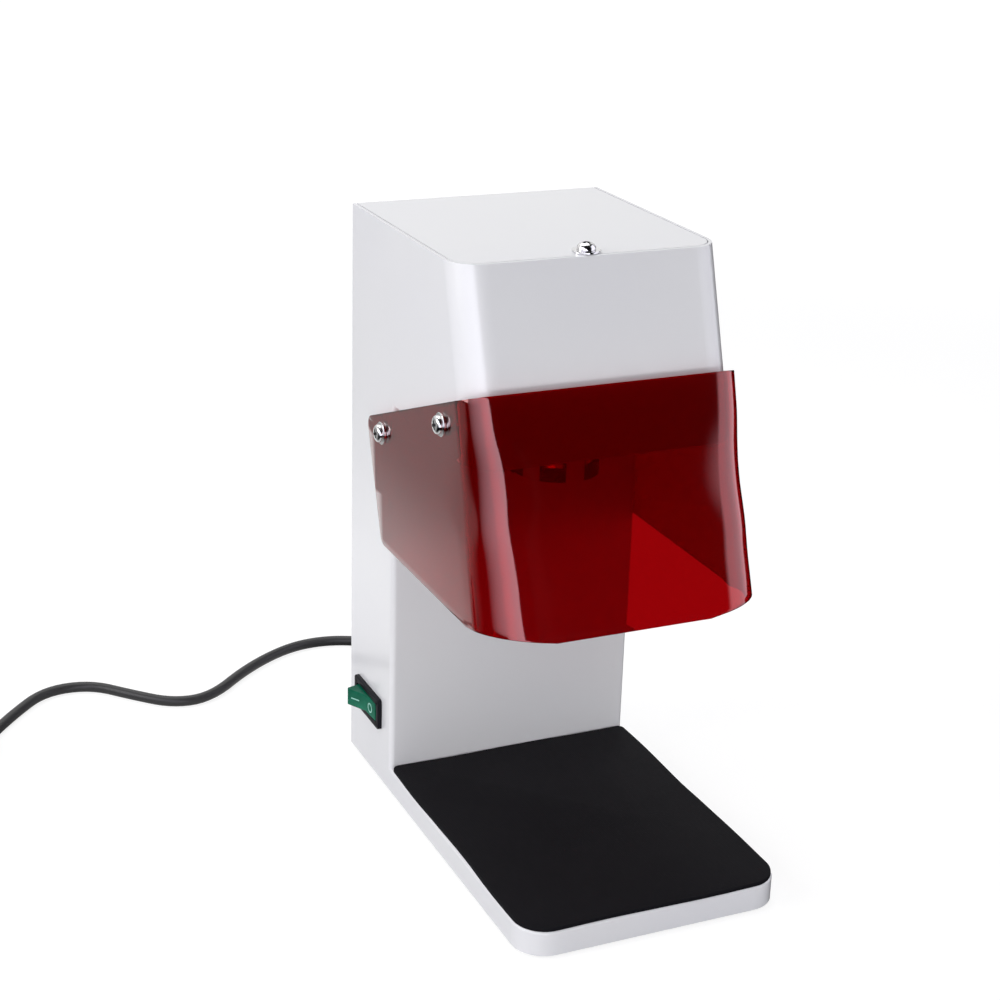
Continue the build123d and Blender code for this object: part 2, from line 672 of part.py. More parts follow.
def lamp_plate_screws():
    screw = pan_screw(M3, M3_HEAD_D, M3_HEAD_H, SHEET + LAMP_PLATE_T + THREAD_RUN_OUT)
    return [placed(screw, (x, y, HEAD_Z), (0, 0, -1)) for x, y in lamp_plate_screw_places()]


def shroud_screw_places():
    radius = (SHROUD_D + SHROUD_FLANGE_D) / 4
    places = []
    for step in range(SHROUD_SCREWS):
        turn = math.radians(90 + 360 * step / SHROUD_SCREWS)
        places.append((radius * math.cos(turn), LAMP_Y + radius * math.sin(turn)))
    return places


def lamp_shroud():
    height = LAMP_PLATE_TOP_Z - SHROUD_Z
    tube = Cylinder(SHROUD_D / 2, height) - Cylinder(SHROUD_D / 2 - SHROUD_T, height)
    tube = Pos(0, 0, SHROUD_Z + height / 2) * tube
    lip = Cylinder(SHROUD_D / 2, SHROUD_T) - Cylinder(SHROUD_D / 2 - SHROUD_T - SHROUD_LIP, SHROUD_T)
    tube += Pos(0, 0, SHROUD_Z + SHROUD_T / 2) * lip
    flange = Cylinder(SHROUD_FLANGE_D / 2, SHROUD_T) - Cylinder(SHROUD_D / 2 - SHROUD_T, SHROUD_T)
    tube += Pos(0, 0, LAMP_PLATE_TOP_Z + SHROUD_T / 2) * flange
    window_z = HEAD_Z - SHROUD_WINDOW_DROP - SHROUD_WINDOW_H / 2
    for step in range(SHROUD_WINDOWS):
        window = Pos(SHROUD_D / 2, 0, window_z) * Box(SHROUD_D / 4, SHROUD_WINDOW_W, SHROUD_WINDOW_H)
        tube -= Rot(0, 0, 360 * step / SHROUD_WINDOWS) * window
    tube = Pos(0, LAMP_Y, 0) * tube
    for x, y in shroud_screw_places():
        tube -= rod(M3 + HOLE_CLEARANCE, (x, y, LAMP_PLATE_TOP_Z), (x, y, LAMP_PLATE_TOP_Z + 5))
    return tube


def shroud_screws():
    screw = pan_screw(M3, SHROUD_SCREW_HEAD_D, M3_HEAD_H, SHROUD_T + LAMP_PLATE_T)
    top = LAMP_PLATE_TOP_Z + SHROUD_T
    return [placed(screw, (x, y, top), (0, 0, 1)) for x, y in shroud_screw_places()]


def lamp_reflector():
    """Glass dish with its ceramic neck, front face down, turned about the lamp axis."""
    rim_r = LAMP_D / 2
    neck_r = LAMP_NECK_D / 2
    rim_z = LAMP_Z + LAMP_RIM_H
    bowl_z = rim_z + LAMP_BOWL_H
    belly = (rim_r - LAMP_BOWL_BELLY, rim_z + LAMP_BOWL_H * LAMP_BELLY_SHARE)
    outside = ThreePointArc((rim_r, rim_z), belly, (neck_r, bowl_z))
    inner_belly = (belly[0] - LAMP_GLASS_T, belly[1] - LAMP_GLASS_T)
    inside = ThreePointArc(
        (CAPSULE_D / 2, bowl_z - 2 * LAMP_GLASS_T), inner_belly, (rim_r - LAMP_GLASS_T, LAMP_Z)
    )
    wall = [
        Line((rim_r - LAMP_GLASS_T, LAMP_Z), (rim_r, LAMP_Z)),
        Line((rim_r, LAMP_Z), (rim_r, rim_z)),
        outside,
        Line((neck_r, bowl_z), (neck_r, LAMP_TOP_Z)),
        Line((neck_r, LAMP_TOP_Z), (CAPSULE_D / 2, LAMP_TOP_Z)),
        Line((CAPSULE_D / 2, LAMP_TOP_Z), (CAPSULE_D / 2, bowl_z - 2 * LAMP_GLASS_T)),
        inside,
    ]
    profile = Plane.XZ * make_face(Wire(wall))
    return Pos(0, LAMP_Y, 0) * revolve(profile, Axis.Z)


def lamp_capsule():
    """Quartz capsule on a pinch that fills the neck, with its two pins."""
    top = LAMP_TOP_Z
    pinch_z = top - LAMP_NECK_H - 2 * LAMP_GLASS_T
    bulb = Pos(0, 0, pinch_z - CAPSULE_H / 2) * Cylinder(CAPSULE_D / 2 - CAPSULE_BULB_GAP, CAPSULE_H)
    bulb = fillet(bulb.edges().group_by(Axis.Z)[0], CAPSULE_TIP_R)
    bulb += Pos(0, 0, (pinch_z + top) / 2) * Cylinder(CAPSULE_D / 2, top - pinch_z)
    for x in (-PIN_SPACING / 2, PIN_SPACING / 2):
        bulb += rod(PIN_D, (x, 0, top - 1), (x, 0, top + PIN_LENGTH))
    return Pos(0, LAMP_Y, 0) * bulb


def lamp_socket():
    z0 = LAMP_TOP_Z
    body = box(-SOCKET_W / 2, SOCKET_W / 2, LAMP_Y - SOCKET_D / 2, LAMP_Y + SOCKET_D / 2, z0, z0 + SOCKET_H)
    body = chamfer(body.edges().filter_by(Axis.Z), SOCKET_BEVEL)
    for side in (-1, 1):
        x = side * PIN_SPACING / 2
        body -= rod(PIN_D + THREAD_CLEARANCE, (x, LAMP_Y, z0 - 1), (x, LAMP_Y, z0 + PIN_LENGTH + 0.5))
    return body


def bracket_screw_places():
    x = BRACKET_SPAN / 2 + BRACKET_T + BRACKET_FOOT / 2
    return [(side * x, LAMP_Y) for side in (-1, 1)]


def lamp_bracket():
    """A bridge over the lamp that holds the socket down on its neck."""
    top = LAMP_TOP_Z + SOCKET_H
    y0 = LAMP_Y - BRACKET_WIDTH / 2
    y1 = LAMP_Y + BRACKET_WIDTH / 2
    leg_in = BRACKET_SPAN / 2
    leg_out = leg_in + BRACKET_T
    foot_x = leg_out + BRACKET_FOOT
    bridge = box(-leg_out, leg_out, y0, y1, top, top + BRACKET_T)
    for side in (-1, 1):
        bridge += box(side * leg_in, side * leg_out, y0, y1, LAMP_PLATE_TOP_Z, top + BRACKET_T)
        bridge += box(
            side * leg_in, side * foot_x, y0, y1, LAMP_PLATE_TOP_Z, LAMP_PLATE_TOP_Z + BRACKET_T
        )
    for x, y in bracket_screw_places():
        bridge -= rod(M3 + HOLE_CLEARANCE, (x, y, LAMP_PLATE_TOP_Z - 1), (x, y, LAMP_PLATE_TOP_Z + 5))
    return bridge


def bracket_screws():
    screw = pan_screw(M3, M3_HEAD_D, M3_HEAD_H, BRACKET_T + LAMP_PLATE_T)
    top = LAMP_PLATE_TOP_Z + BRACKET_T
    return [placed(screw, (x, y, top), (0, 0, 1)) for x, y in bracket_screw_places()]


def thermal_cutout():
    """A disc thermostat on the lamp plate, with two blade terminals."""
    x = CUTOUT_X
    y = REAR_Y - CUTOUT_REACH
    z = LAMP_PLATE_TOP_Z
    disc = rod(CUTOUT_D, (x, y, z), (x, y, z + CUTOUT_H))
    for side in (-1, 1):
        py = y + side * CUTOUT_D / 4
        disc += box(x - TAB_W / 2, x + TAB_W / 2, py, py + TAB_T, z + CUTOUT_H, z + CUTOUT_H + TAB_L)
    return disc


# ================================================================= fan
def fan_plane(y):
    """Plane square to the fan's axis at y, its normal pointing to the rear."""
    return Plane(origin=(0, y, FAN_Z), x_dir=(1, 0, 0), z_dir=(0, 1, 0))


def fan_disc(diameter, y0, y1):
    return extrude(fan_plane(y0) * Circle(diameter / 2), y1 - y0)


def fan_frame():
    back = FAN_IN_Y + FAN_PLATE_T
    outline = fan_plane(FAN_IN_Y) * RectangleRounded(FAN_W, FAN_W, FAN_CORNER_R)
    frame = extrude(outline, FAN_T) - fan_disc(FAN_BORE_D, FAN_IN_Y - 1, COVER_IN_Y + 1)
    run = FAN_BORE_D / 2 + 1.0
    for turn in FAN_STRUT_TURNS:
        strut = Rot(0, 0, turn) * Pos(run / 2, 0, FAN_PLATE_T / 2) * Box(run, FAN_STRUT_W, FAN_PLATE_T)
        frame += fan_plane(FAN_IN_Y).location * strut
    frame += fan_disc(FAN_HUB_D, FAN_IN_Y, back)
    frame += fan_disc(FAN_BEARING_D, back, bearing_end_y())
    frame -= fan_disc(FAN_SHAFT_D + FAN_SHAFT_CLEARANCE, FAN_IN_Y + FAN_SHAFT_FLOOR, bearing_end_y() + 1)
    for x, z in fan_screw_places():
        frame -= rod(M4 + HOLE_CLEARANCE, (x, FAN_IN_Y - 1, z), (x, COVER_IN_Y + 1, z))
    return frame


def bearing_end_y():
    return hub_inner_y() - FAN_RUN_GAP


def hub_inner_y():
    return COVER_IN_Y - FAN_RECESS - FAN_CUP_T


def fan_stator():
    """The motor's wound core, pressed on the bearing post inside the rotor's cup."""
    y0 = FAN_IN_Y + FAN_PLATE_T
    y1 = bearing_end_y() - FAN_RUN_GAP
    diameter = FAN_HUB_D - 2 * (FAN_CUP_WALL + FAN_AIR_GAP)
    return fan_disc(diameter, y0, y1) - fan_disc(FAN_BEARING_D, y0 - 1, y1 + 1)


def fan_rotor():
    front = FAN_IN_Y + FAN_PLATE_T + FAN_RUN_GAP
    rear = COVER_IN_Y - FAN_RECESS
    cup = fan_disc(FAN_HUB_D, front, rear)
    cup -= fan_disc(FAN_HUB_D - 2 * FAN_CUP_WALL, front - 1, hub_inner_y())
    cup += fan_disc(FAN_SHAFT_D, FAN_IN_Y + FAN_SHAFT_FLOOR + FAN_RUN_GAP, rear)
    root = FAN_HUB_D / 2
    tip = FAN_BORE_D / 2 - FAN_TIP_GAP
    mid_y = (front + rear) / 2
    # a blade runs from inside the cup's wall past the tip circle, and the reach trims it
    length = tip - root + 2 * FAN_CUP_WALL
    blade = Pos((root + tip) / 2, 0, 0) * Rot(FAN_BLADE_PITCH, 0, 0) * Box(
        length, FAN_BLADE_CHORD, FAN_BLADE_T
    )
    reach = fan_disc(2 * tip, front, rear) - fan_disc(FAN_HUB_D - FAN_CUP_WALL, front - 1, rear + 1)
    for step in range(FAN_BLADES):
        turned = fan_plane(mid_y).location * Rot(0, 0, 360 * step / FAN_BLADES) * blade
        cup += turned & reach
    return cup


def fan_fasteners():
    length = COVER_T + FAN_T + M4_NUT_H + THREAD_RUN_OUT
    screw = pan_screw(M4, M4_HEAD_D, M4_HEAD_H, length)
    screws = [placed(screw, (x, COVER_OUT_Y, z), (0, 1, 0)) for x, z in fan_screw_places()]
    nuts = [placed(hex_nut(), (x, FAN_IN_Y, z), (0, -1, 0)) for x, z in fan_screw_places()]
    return screws, nuts


def cover_screws():
    screw = pan_screw(M4, M4_HEAD_D, M4_HEAD_H, COVER_T + FLANGE_T + COVER_SCREW_GRIP)
    return [placed(screw, (x, COVER_OUT_Y, z), (0, 1, 0)) for x, z in cover_screw_places()]


# ================================================================= transformer and wiring
SHELF_Z = SHELL_Z + SHELF_HEIGHT
SHELF_TOP_Z = SHELF_Z + SHELF_T
SHELF_Y = COLUMN_Y + SHEET + SHELF_GAP
CORE_Y = SHELF_Y + SHELF_DEPTH / 2
YOKE = CORE_LEG / 2
CORE_WINDOW_W = (CORE_W - CORE_LEG - 2 * YOKE) / 2


def transformer_shelf():
    """A folded shelf welded between the column's side walls."""
    y0 = SHELF_Y
    y1 = y0 + SHELF_DEPTH
    shelf = box(-INNER_X, INNER_X, y0, y1, SHELF_Z, SHELF_TOP_Z)
    for side in (-1, 1):
        shelf += box(
            side * (INNER_X - SHELF_T), side * INNER_X, y0, y1, SHELF_Z - SHELF_FLANGE, SHELF_TOP_Z
        )
    for x, y in clamp_screw_places():
        shelf -= rod(M4 + HOLE_CLEARANCE, (x, y, SHELF_Z - 1), (x, y, SHELF_TOP_Z + 1))
    for side in (-1, 1):
        x, y = side * WIRE_HOLE_X, wire_hole_y()
        shelf -= rod(WIRE_HOLE_D, (x, y, SHELF_Z - 1), (x, y, SHELF_TOP_Z + 1))
    return shelf


def wire_hole_y():
    return SHELF_Y + WIRE_HOLE_Y


def transformer_core():
    z0 = SHELF_TOP_Z
    y0 = CORE_Y - CORE_STACK / 2
    y1 = CORE_Y + CORE_STACK / 2
    core = box(-CORE_W / 2, CORE_W / 2, y0, y1, z0, z0 + CORE_H)
    for side in (-1, 1):
        core -= box(
            side * CORE_LEG / 2, side * (CORE_LEG / 2 + CORE_WINDOW_W), y0 - 1, y1 + 1,
            z0 + YOKE, z0 + CORE_H - YOKE,
        )
    return core


def transformer_winding():
    z0 = SHELF_TOP_Z + YOKE
    z1 = SHELF_TOP_Z + CORE_H - YOKE
    half_x = CORE_LEG / 2 + CORE_WINDOW_W - WINDING_GAP
    half_y = CORE_STACK / 2 + WINDING_T
    coil = box(-half_x, half_x, CORE_Y - half_y, CORE_Y + half_y, z0, z1)
    coil = fillet(coil.edges().filter_by(Axis.Z), 3.0)
    leg = box(
        -CORE_LEG / 2, CORE_LEG / 2, CORE_Y - CORE_STACK / 2, CORE_Y + CORE_STACK / 2, z0 - 1, z1 + 1
    )
    return coil - leg


def clamp_screw_places():
    x = CORE_W / 2 + CLAMP_T + CLAMP_FOOT / 2 + 1.0
    return [(side * x, CORE_Y) for side in (-1, 1)]


def transformer_clamp():
    """A strap over the core with a foot each side."""
    y0 = CORE_Y - CLAMP_WIDTH / 2
    y1 = CORE_Y + CLAMP_WIDTH / 2
    leg_in = CORE_W / 2
    leg_out = leg_in + CLAMP_T
    top = SHELF_TOP_Z + CORE_H
    strap = box(-leg_out, leg_out, y0, y1, top, top + CLAMP_T)
    for side in (-1, 1):
        strap += box(side * leg_in, side * leg_out, y0, y1, SHELF_TOP_Z, top + CLAMP_T)
        strap += box(
            side * leg_in, side * (leg_out + CLAMP_FOOT), y0, y1, SHELF_TOP_Z, SHELF_TOP_Z + CLAMP_T
        )
    for x, y in clamp_screw_places():
        strap -= rod(M4 + HOLE_CLEARANCE, (x, y, SHELF_TOP_Z - 1), (x, y, SHELF_TOP_Z + 5))
    return strap


def clamp_fasteners():
    length = CLAMP_T + SHELF_T + M4_NUT_H + THREAD_RUN_OUT
    screw = pan_screw(M4, M4_HEAD_D, M4_HEAD_H, length)
    top = SHELF_TOP_Z + CLAMP_T
    screws = [placed(screw, (x, y, top), (0, 0, 1)) for x, y in clamp_screw_places()]
    nuts = [placed(hex_nut(), (x, y, SHELF_Z), (0, 0, -1)) for x, y in clamp_screw_places()]
    return screws, nuts


def block_y():
    return COLUMN_Y + SHEET + BLOCK_SETBACK + BLOCK_D / 2


def block_pole_xs():
    first = BLOCK_X - BLOCK_PITCH * (BLOCK_POLES - 1) / 2
    return [first + pole * BLOCK_PITCH for pole in range(BLOCK_POLES)]


def terminal_block():
    y = block_y()
    z1 = PLATE_TOP_Z + BLOCK_H
    block = box(
        BLOCK_X - BLOCK_W / 2, BLOCK_X + BLOCK_W / 2, y - BLOCK_D / 2, y + BLOCK_D / 2, PLATE_TOP_Z, z1
    )
    for x in block_pole_xs():
        z = PLATE_TOP_Z + BLOCK_H / 2
        block -= rod(BLOCK_BORE_D, (x, y - BLOCK_D, z), (x, y + BLOCK_D, z))
        for py in (y - BLOCK_D / 4, y + BLOCK_D / 4):
            block -= rod(M3 + THREAD_CLEARANCE, (x, py, z), (x, py, z1 + 1))
    return block


def terminal_screws():
    screws = []
    y = block_y()
    z0 = PLATE_TOP_Z + BLOCK_H / 2 + BLOCK_BORE_D / 2
    z1 = PLATE_TOP_Z + BLOCK_H
    for x in block_pole_xs():
        for py in (y - BLOCK_D / 4, y + BLOCK_D / 4):
            screw = rod(M3, (x, py, z0), (x, py, z1 - 0.5))
            slot = box(x - 0.3, x + 0.3, py - M3, py + M3, z1 - 1.3, z1)
            screws.append(screw - slot)
    return screws


def wire(*points):
    """An insulated wire along straight runs with equal rounded bends."""
    path = FilletPolyline(*points, radius=WIRE_BEND)
    start = Plane(origin=path @ 0, z_dir=path % 0)
    return sweep(start * Circle(WIRE_D / 2), path=path)


def pole_z():
    return PLATE_TOP_Z + BLOCK_H / 2


def mains_wires():
    """Two cores from the strain relief into the back of the terminal block."""
    wires = []
    z = SHELL_Z + GLAND_HEIGHT
    rear = block_y() + BLOCK_D / 2
    for side, pole_x in zip((-1, 1), block_pole_xs()):
        x = side * WIRE_D * 0.7
        turn_y = rear + 6.0
        wires.append(wire(
            (x, gland_inner_y(), z), (x, turn_y + 1.0, z),
            (pole_x, turn_y, pole_z()), (pole_x, rear - WIRE_INSERT, pole_z()),
        ))
    return wires


def primary_wires():
    """Block to switch, switch to transformer, and block to transformer."""
    front = block_y() - BLOCK_D / 2
    turn_y = COLUMN_Y + SHEET + 2 * WIRE_D
    tab_end = -HALF_W + SWITCH_DEPTH + TAB_L
    tab_z = SHELL_Z + SWITCH_HEIGHT
    side_tab_y = switch_y() - TAB_PITCH
    live_x, neutral_x = block_pole_xs()[:2]
    hole_y = wire_hole_y()
    coil_x = CORE_LEG / 2 + CORE_WINDOW_W - WINDING_GAP
    coil_z = SHELF_TOP_Z + CORE_H / 2
    low_z = SHELF_Z - WIRE_DROP
    feed = wire(
        (live_x, front + WIRE_INSERT, pole_z()), (live_x, turn_y, pole_z()),
        (tab_end + WIRE_TURN, turn_y, pole_z() + 7.0), (tab_end + WIRE_TURN, side_tab_y, tab_z),
        (tab_end, side_tab_y, tab_z),
    )
    switched = wire(
        (tab_end, switch_y(), tab_z), (tab_end + WIRE_TURN - 2.0, switch_y(), tab_z),
        (-WIRE_HOLE_X, hole_y, low_z), (-WIRE_HOLE_X, hole_y, coil_z), (-coil_x, hole_y, coil_z),
    )
    neutral = wire(
        (neutral_x, front + WIRE_INSERT, pole_z()), (neutral_x, turn_y, pole_z()),
        (WIRE_HOLE_X, turn_y + 1.0, pole_z() + 12.0), (WIRE_HOLE_X, hole_y, low_z),
        (WIRE_HOLE_X, hole_y, coil_z), (coil_x, hole_y, coil_z),
    )
    return [feed, switched, neutral]


def lamp_wires():
    """Two low-voltage leads from the winding up the column to the back of the lamp socket."""
    wires = []
    coil_x = CORE_LEG / 2 + CORE_WINDOW_W - WINDING_GAP
    coil_y = CORE_Y + CORE_STACK / 2 + WINDING_T - 2 * WIRE_D
    coil_z = SHELF_TOP_Z + CORE_H / 2
    socket_z = LAMP_TOP_Z + SOCKET_H / 2
    for lead in range(2):
        side_x = CORE_W / 2 + 4 * WIRE_D + 2 * WIRE_D * lead
        z = coil_z + 3 * WIRE_D * lead
        end_x = PIN_SPACING * (2 * lead - 1)
        wires.append(wire(
            (coil_x, coil_y, z), (side_x, coil_y, z), (side_x, coil_y - 3.0, HEAD_Z),
            (end_x, COLUMN_Y, socket_z), (end_x, LAMP_Y + SOCKET_D / 2, socket_z),
        ))
    return wires


def fan_wires():
    """Two leads from the fan's hub, down between its nuts, to the winding."""
    wires = []
    coil_x = CORE_LEG / 2 + CORE_WINDOW_W - WINDING_GAP
    coil_y = CORE_Y + CORE_STACK / 2 + WINDING_T - 2 * WIRE_D
    coil_z = SHELF_TOP_Z + CORE_H / 2
    hub_z = FAN_Z - 2 * WIRE_D
    ahead_y = FAN_IN_Y - M4_NUT_H - THREAD_RUN_OUT - 2 * WIRE_D
    for lead in range(2):
        hub_x = -WIRE_D * (3 - 2 * lead)
        side_x = -CORE_W / 2 - WIRE_D * (6 - 2 * lead)
        under_z = FAN_Z - FAN_W / 2 - WIRE_D * (2 + 2 * lead)
        z = coil_z + 3 * WIRE_D * lead
        wires.append(wire(
            (hub_x, FAN_IN_Y, hub_z), (hub_x, ahead_y, hub_z), (hub_x, ahead_y, under_z),
            (side_x, coil_y, under_z - 2 * WIRE_BEND), (side_x, coil_y, z), (-coil_x, coil_y, z),
        ))
    return wires


def switch_y():
    return REAR_Y - SWITCH_REACH


# ================================================================= switch
def switch_plane(depth=0.0):
    """Plane on the left side wall, its normal pointing out to the user's left, +X to the rear."""
    origin = (-HALF_W + depth, switch_y(), SHELL_Z + SWITCH_HEIGHT)
    return Plane(origin=origin, x_dir=(0, 1, 0), z_dir=(-1, 0, 0))


def switch_cutout():
    size_l = SWITCH_OPEN_L + 2 * (SWITCH_WALL + CUTOUT_CLEARANCE)
    size_h = SWITCH_OPEN_H + 2 * (SWITCH_WALL + CUTOUT_CLEARANCE)
    return extrude(switch_plane(SHEET + 1.0) * Rectangle(size_l, size_h), SHEET + 2.0)


def switch_body():
    bezel = extrude(switch_plane() * RectangleRounded(BEZEL_L, BEZEL_H, BEZEL_R), BEZEL_T)
    bezel = fillet(bezel.edges().group_by(Axis.X)[0], BEZEL_T * 0.35)
    tub_l = SWITCH_OPEN_L + 2 * SWITCH_WALL
    tub_h = SWITCH_OPEN_H + 2 * SWITCH_WALL
    tub = extrude(switch_plane(SWITCH_DEPTH) * Rectangle(tub_l, tub_h), SWITCH_DEPTH)
    well = extrude(
        switch_plane(SWITCH_DEPTH - SWITCH_FLOOR) * Rectangle(SWITCH_OPEN_L, SWITCH_OPEN_H),
        SWITCH_DEPTH + BEZEL_T,
    )
    body = bezel + tub - well
    return body - rocker_pins(PIVOT_D + PIVOT_CLEARANCE, tub_h / 2)


def rocker_pins(diameter, reach):
    x = -HALF_W + PIVOT_DEPTH
    z = SHELL_Z + SWITCH_HEIGHT
    return rod(diameter, (x, switch_y(), z - reach), (x, switch_y(), z + reach))


def switch_rocker():
    """Rocker at rest: its front end pressed in and its rear end standing out."""
    half_h = SWITCH_OPEN_H / 2 - ROCKER_SIDE_GAP
    outline = [
        (-ROCKER_HALF_L, ROCKER_END_H),
        (0, ROCKER_MID_H),
        (ROCKER_HALF_L, ROCKER_END_H),
        (ROCKER_HALF_L, -ROCKER_SKIRT),
        (ROCKER_STEM_W / 2, -ROCKER_SKIRT),
        (ROCKER_STEM_W / 2, -ROCKER_SKIRT - ROCKER_STEM_L),
        (-ROCKER_STEM_W / 2, -ROCKER_SKIRT - ROCKER_STEM_L),
        (-ROCKER_STEM_W / 2, -ROCKER_SKIRT),
        (-ROCKER_HALF_L, -ROCKER_SKIRT),
    ]
    # the outline lies in a level plane: its first axis along +Y, its second out along -X
    level = Plane(
        origin=(-HALF_W + PIVOT_DEPTH, switch_y(), SHELL_Z + SWITCH_HEIGHT),
        x_dir=(0, 1, 0), z_dir=(0, 0, 1),
    )
    body = extrude(make_face(level * Polyline(*outline, close=True)), half_h, both=True)
    tips = body.edges().filter_by(Axis.Z).group_by(Axis.X)[0]
    body = fillet(tips, 0.8)
    body += rocker_pins(PIVOT_D, SWITCH_OPEN_H / 2 + SWITCH_WALL - 0.1)
    pivot = Axis((-HALF_W + PIVOT_DEPTH, switch_y(), 0), (0, 0, 1))
    return body.rotate(pivot, ROCKER_TILT)


def switch_tabs():
    tabs = []
    x0 = -HALF_W + SWITCH_DEPTH
    z = SHELL_Z + SWITCH_HEIGHT
    for step in (-1, 0, 1):
        y = switch_y() + step * TAB_PITCH
        tabs.append(box(x0, x0 + TAB_L, y - TAB_T / 2, y + TAB_T / 2, z - TAB_W / 2, z + TAB_W / 2))
    return tabs


# ================================================================= lead
def gland_inner_y():
    return COVER_IN_Y - GLAND_COLLAR_T


def gland_tail_y():
    return COVER_OUT_Y + GLAND_FLANGE_T + GLAND_TAIL_L


def strain_relief():
    z = SHELL_Z + GLAND_HEIGHT
    piece = rod(GLAND_COLLAR_D, (0, gland_inner_y(), z), (0, COVER_IN_Y, z))
    piece += rod(GLAND_NECK_D, (0, COVER_IN_Y, z), (0, COVER_OUT_Y, z))
    root_y = COVER_OUT_Y + GLAND_FLANGE_T
    piece += rod(GLAND_FLANGE_D, (0, COVER_OUT_Y, z), (0, root_y, z))
    root = Plane(origin=(0, root_y, z), z_dir=(0, 1, 0)) * Circle(GLAND_TAIL_ROOT_D / 2)
    end = Plane(origin=(0, gland_tail_y(), z), z_dir=(0, 1, 0)) * Circle(GLAND_TAIL_D / 2)
    return piece + loft([root, end])


FLOOR = CORD_D / 2
EXIT_Z = SHELL_Z + GLAND_HEIGHT
CORD_ROUTE = [
    (0.0, gland_tail_y(), EXIT_Z),
    (0.0, 144.0, EXIT_Z),
    (0.0, 161.0, 17.5),
    (-1.0, 177.0, 5.0),
    (-5.0, 193.0, FLOOR),
    (-17.0, 206.0, FLOOR),
    (-36.0, 213.0, FLOOR),
    (-57.0, 210.5, FLOOR),
    (-84.0, 194.0, FLOOR),
    (-110.3, 168.5, FLOOR),
    (-130.0, 168.7, FLOOR),
    (-146.8, 185.0, FLOOR),
    (-163.5, 203.5, FLOOR),
    (-187.0, 204.0, FLOOR),
    (-206.0, 184.5, FLOOR),
    (-224.0, 162.0, FLOOR),
    (-236.0, 143.5, FLOOR),
]


def corner_radii(route):
    """Arc at each corner: 0.45 of the shorter run over the tangent of half the turn."""
    radii = []
    for before, here, after in zip(route, route[1:], route[2:]):
        run_in = Vector(*here) - Vector(*before)
        run_out = Vector(*after) - Vector(*here)
        half_turn = math.radians(run_in.get_angle(run_out) / 2)
        radii.append(0.45 * min(run_in.length, run_out.length) / math.tan(half_turn))
    return radii


def cord():
    radii = corner_radii(CORD_ROUTE)
    path = FilletPolyline(*CORD_ROUTE, radius=radii)
    start = Plane(origin=path @ 0, z_dir=path % 0)
    tube = sweep(start * Circle(CORD_D / 2), path=path)
    section = math.pi * CORD_D ** 2 / 4
    print("cord radii", [round(r, 1) for r in radii])
    print("cord tube length", round(path.length, 1), "volume over section x length",
          round(tube.volume / (section * path.length), 4))
    return tube


def coil_half_width():
    return COIL_COLUMNS * CORD_D / 2


def coil_height():
    return COIL_LAYERS * CORD_D


def cord_coil():
    outer = Cylinder(COIL_TURN_R + coil_half_width(), coil_height())
    ring = outer - Cylinder(COIL_TURN_R - coil_half_width(), coil_height())
    return Pos(COIL_X, COIL_Y, coil_height() / 2) * fillet(ring.edges(), CORD_D / 2 * 0.9)


def plug_plane():
    """Frame of the plug lying on the coil: origin at its nose face, +Y the way the pins point."""
    nose = (COIL_X - PLUG_OFFSET, COIL_Y + PLUG_NOSE, coil_height() + PLUG_T / 2)
    return Plane(origin=nose, x_dir=(1, 0, 0), z_dir=(0, 0, 1))


def plug_body():
    """Flat two-pole plug: a wide nose, a waist for the fingers and a narrow end for the lead."""
    half_outline = [
        (PLUG_NOSE_W / 2, 0), (PLUG_NOSE_W / 2, -PLUG_NOSE_L),
        (PLUG_WAIST_W / 2, -PLUG_WAIST), (CORD_D, -PLUG_L),
    ]
    outline = half_outline + [(-x, y) for x, y in reversed(half_outline)]
    flat = make_face(plug_plane() * Polyline(*outline, close=True))
    body = extrude(flat, PLUG_T / 2, both=True)
    return fillet(body.edges().filter_by(Axis.Z), PLUG_END_R)


def plug_pins():
    pins = []
    for side in (-1, 1):
        x = side * PLUG_PIN_SPACING / 2
        start = plug_plane().from_local_coords((x, 0, 0))
        end = plug_plane().from_local_coords((x, PLUG_PIN_L, 0))
        pins.append(rod(PLUG_PIN_D, tuple(start), tuple(end)))
    return pins


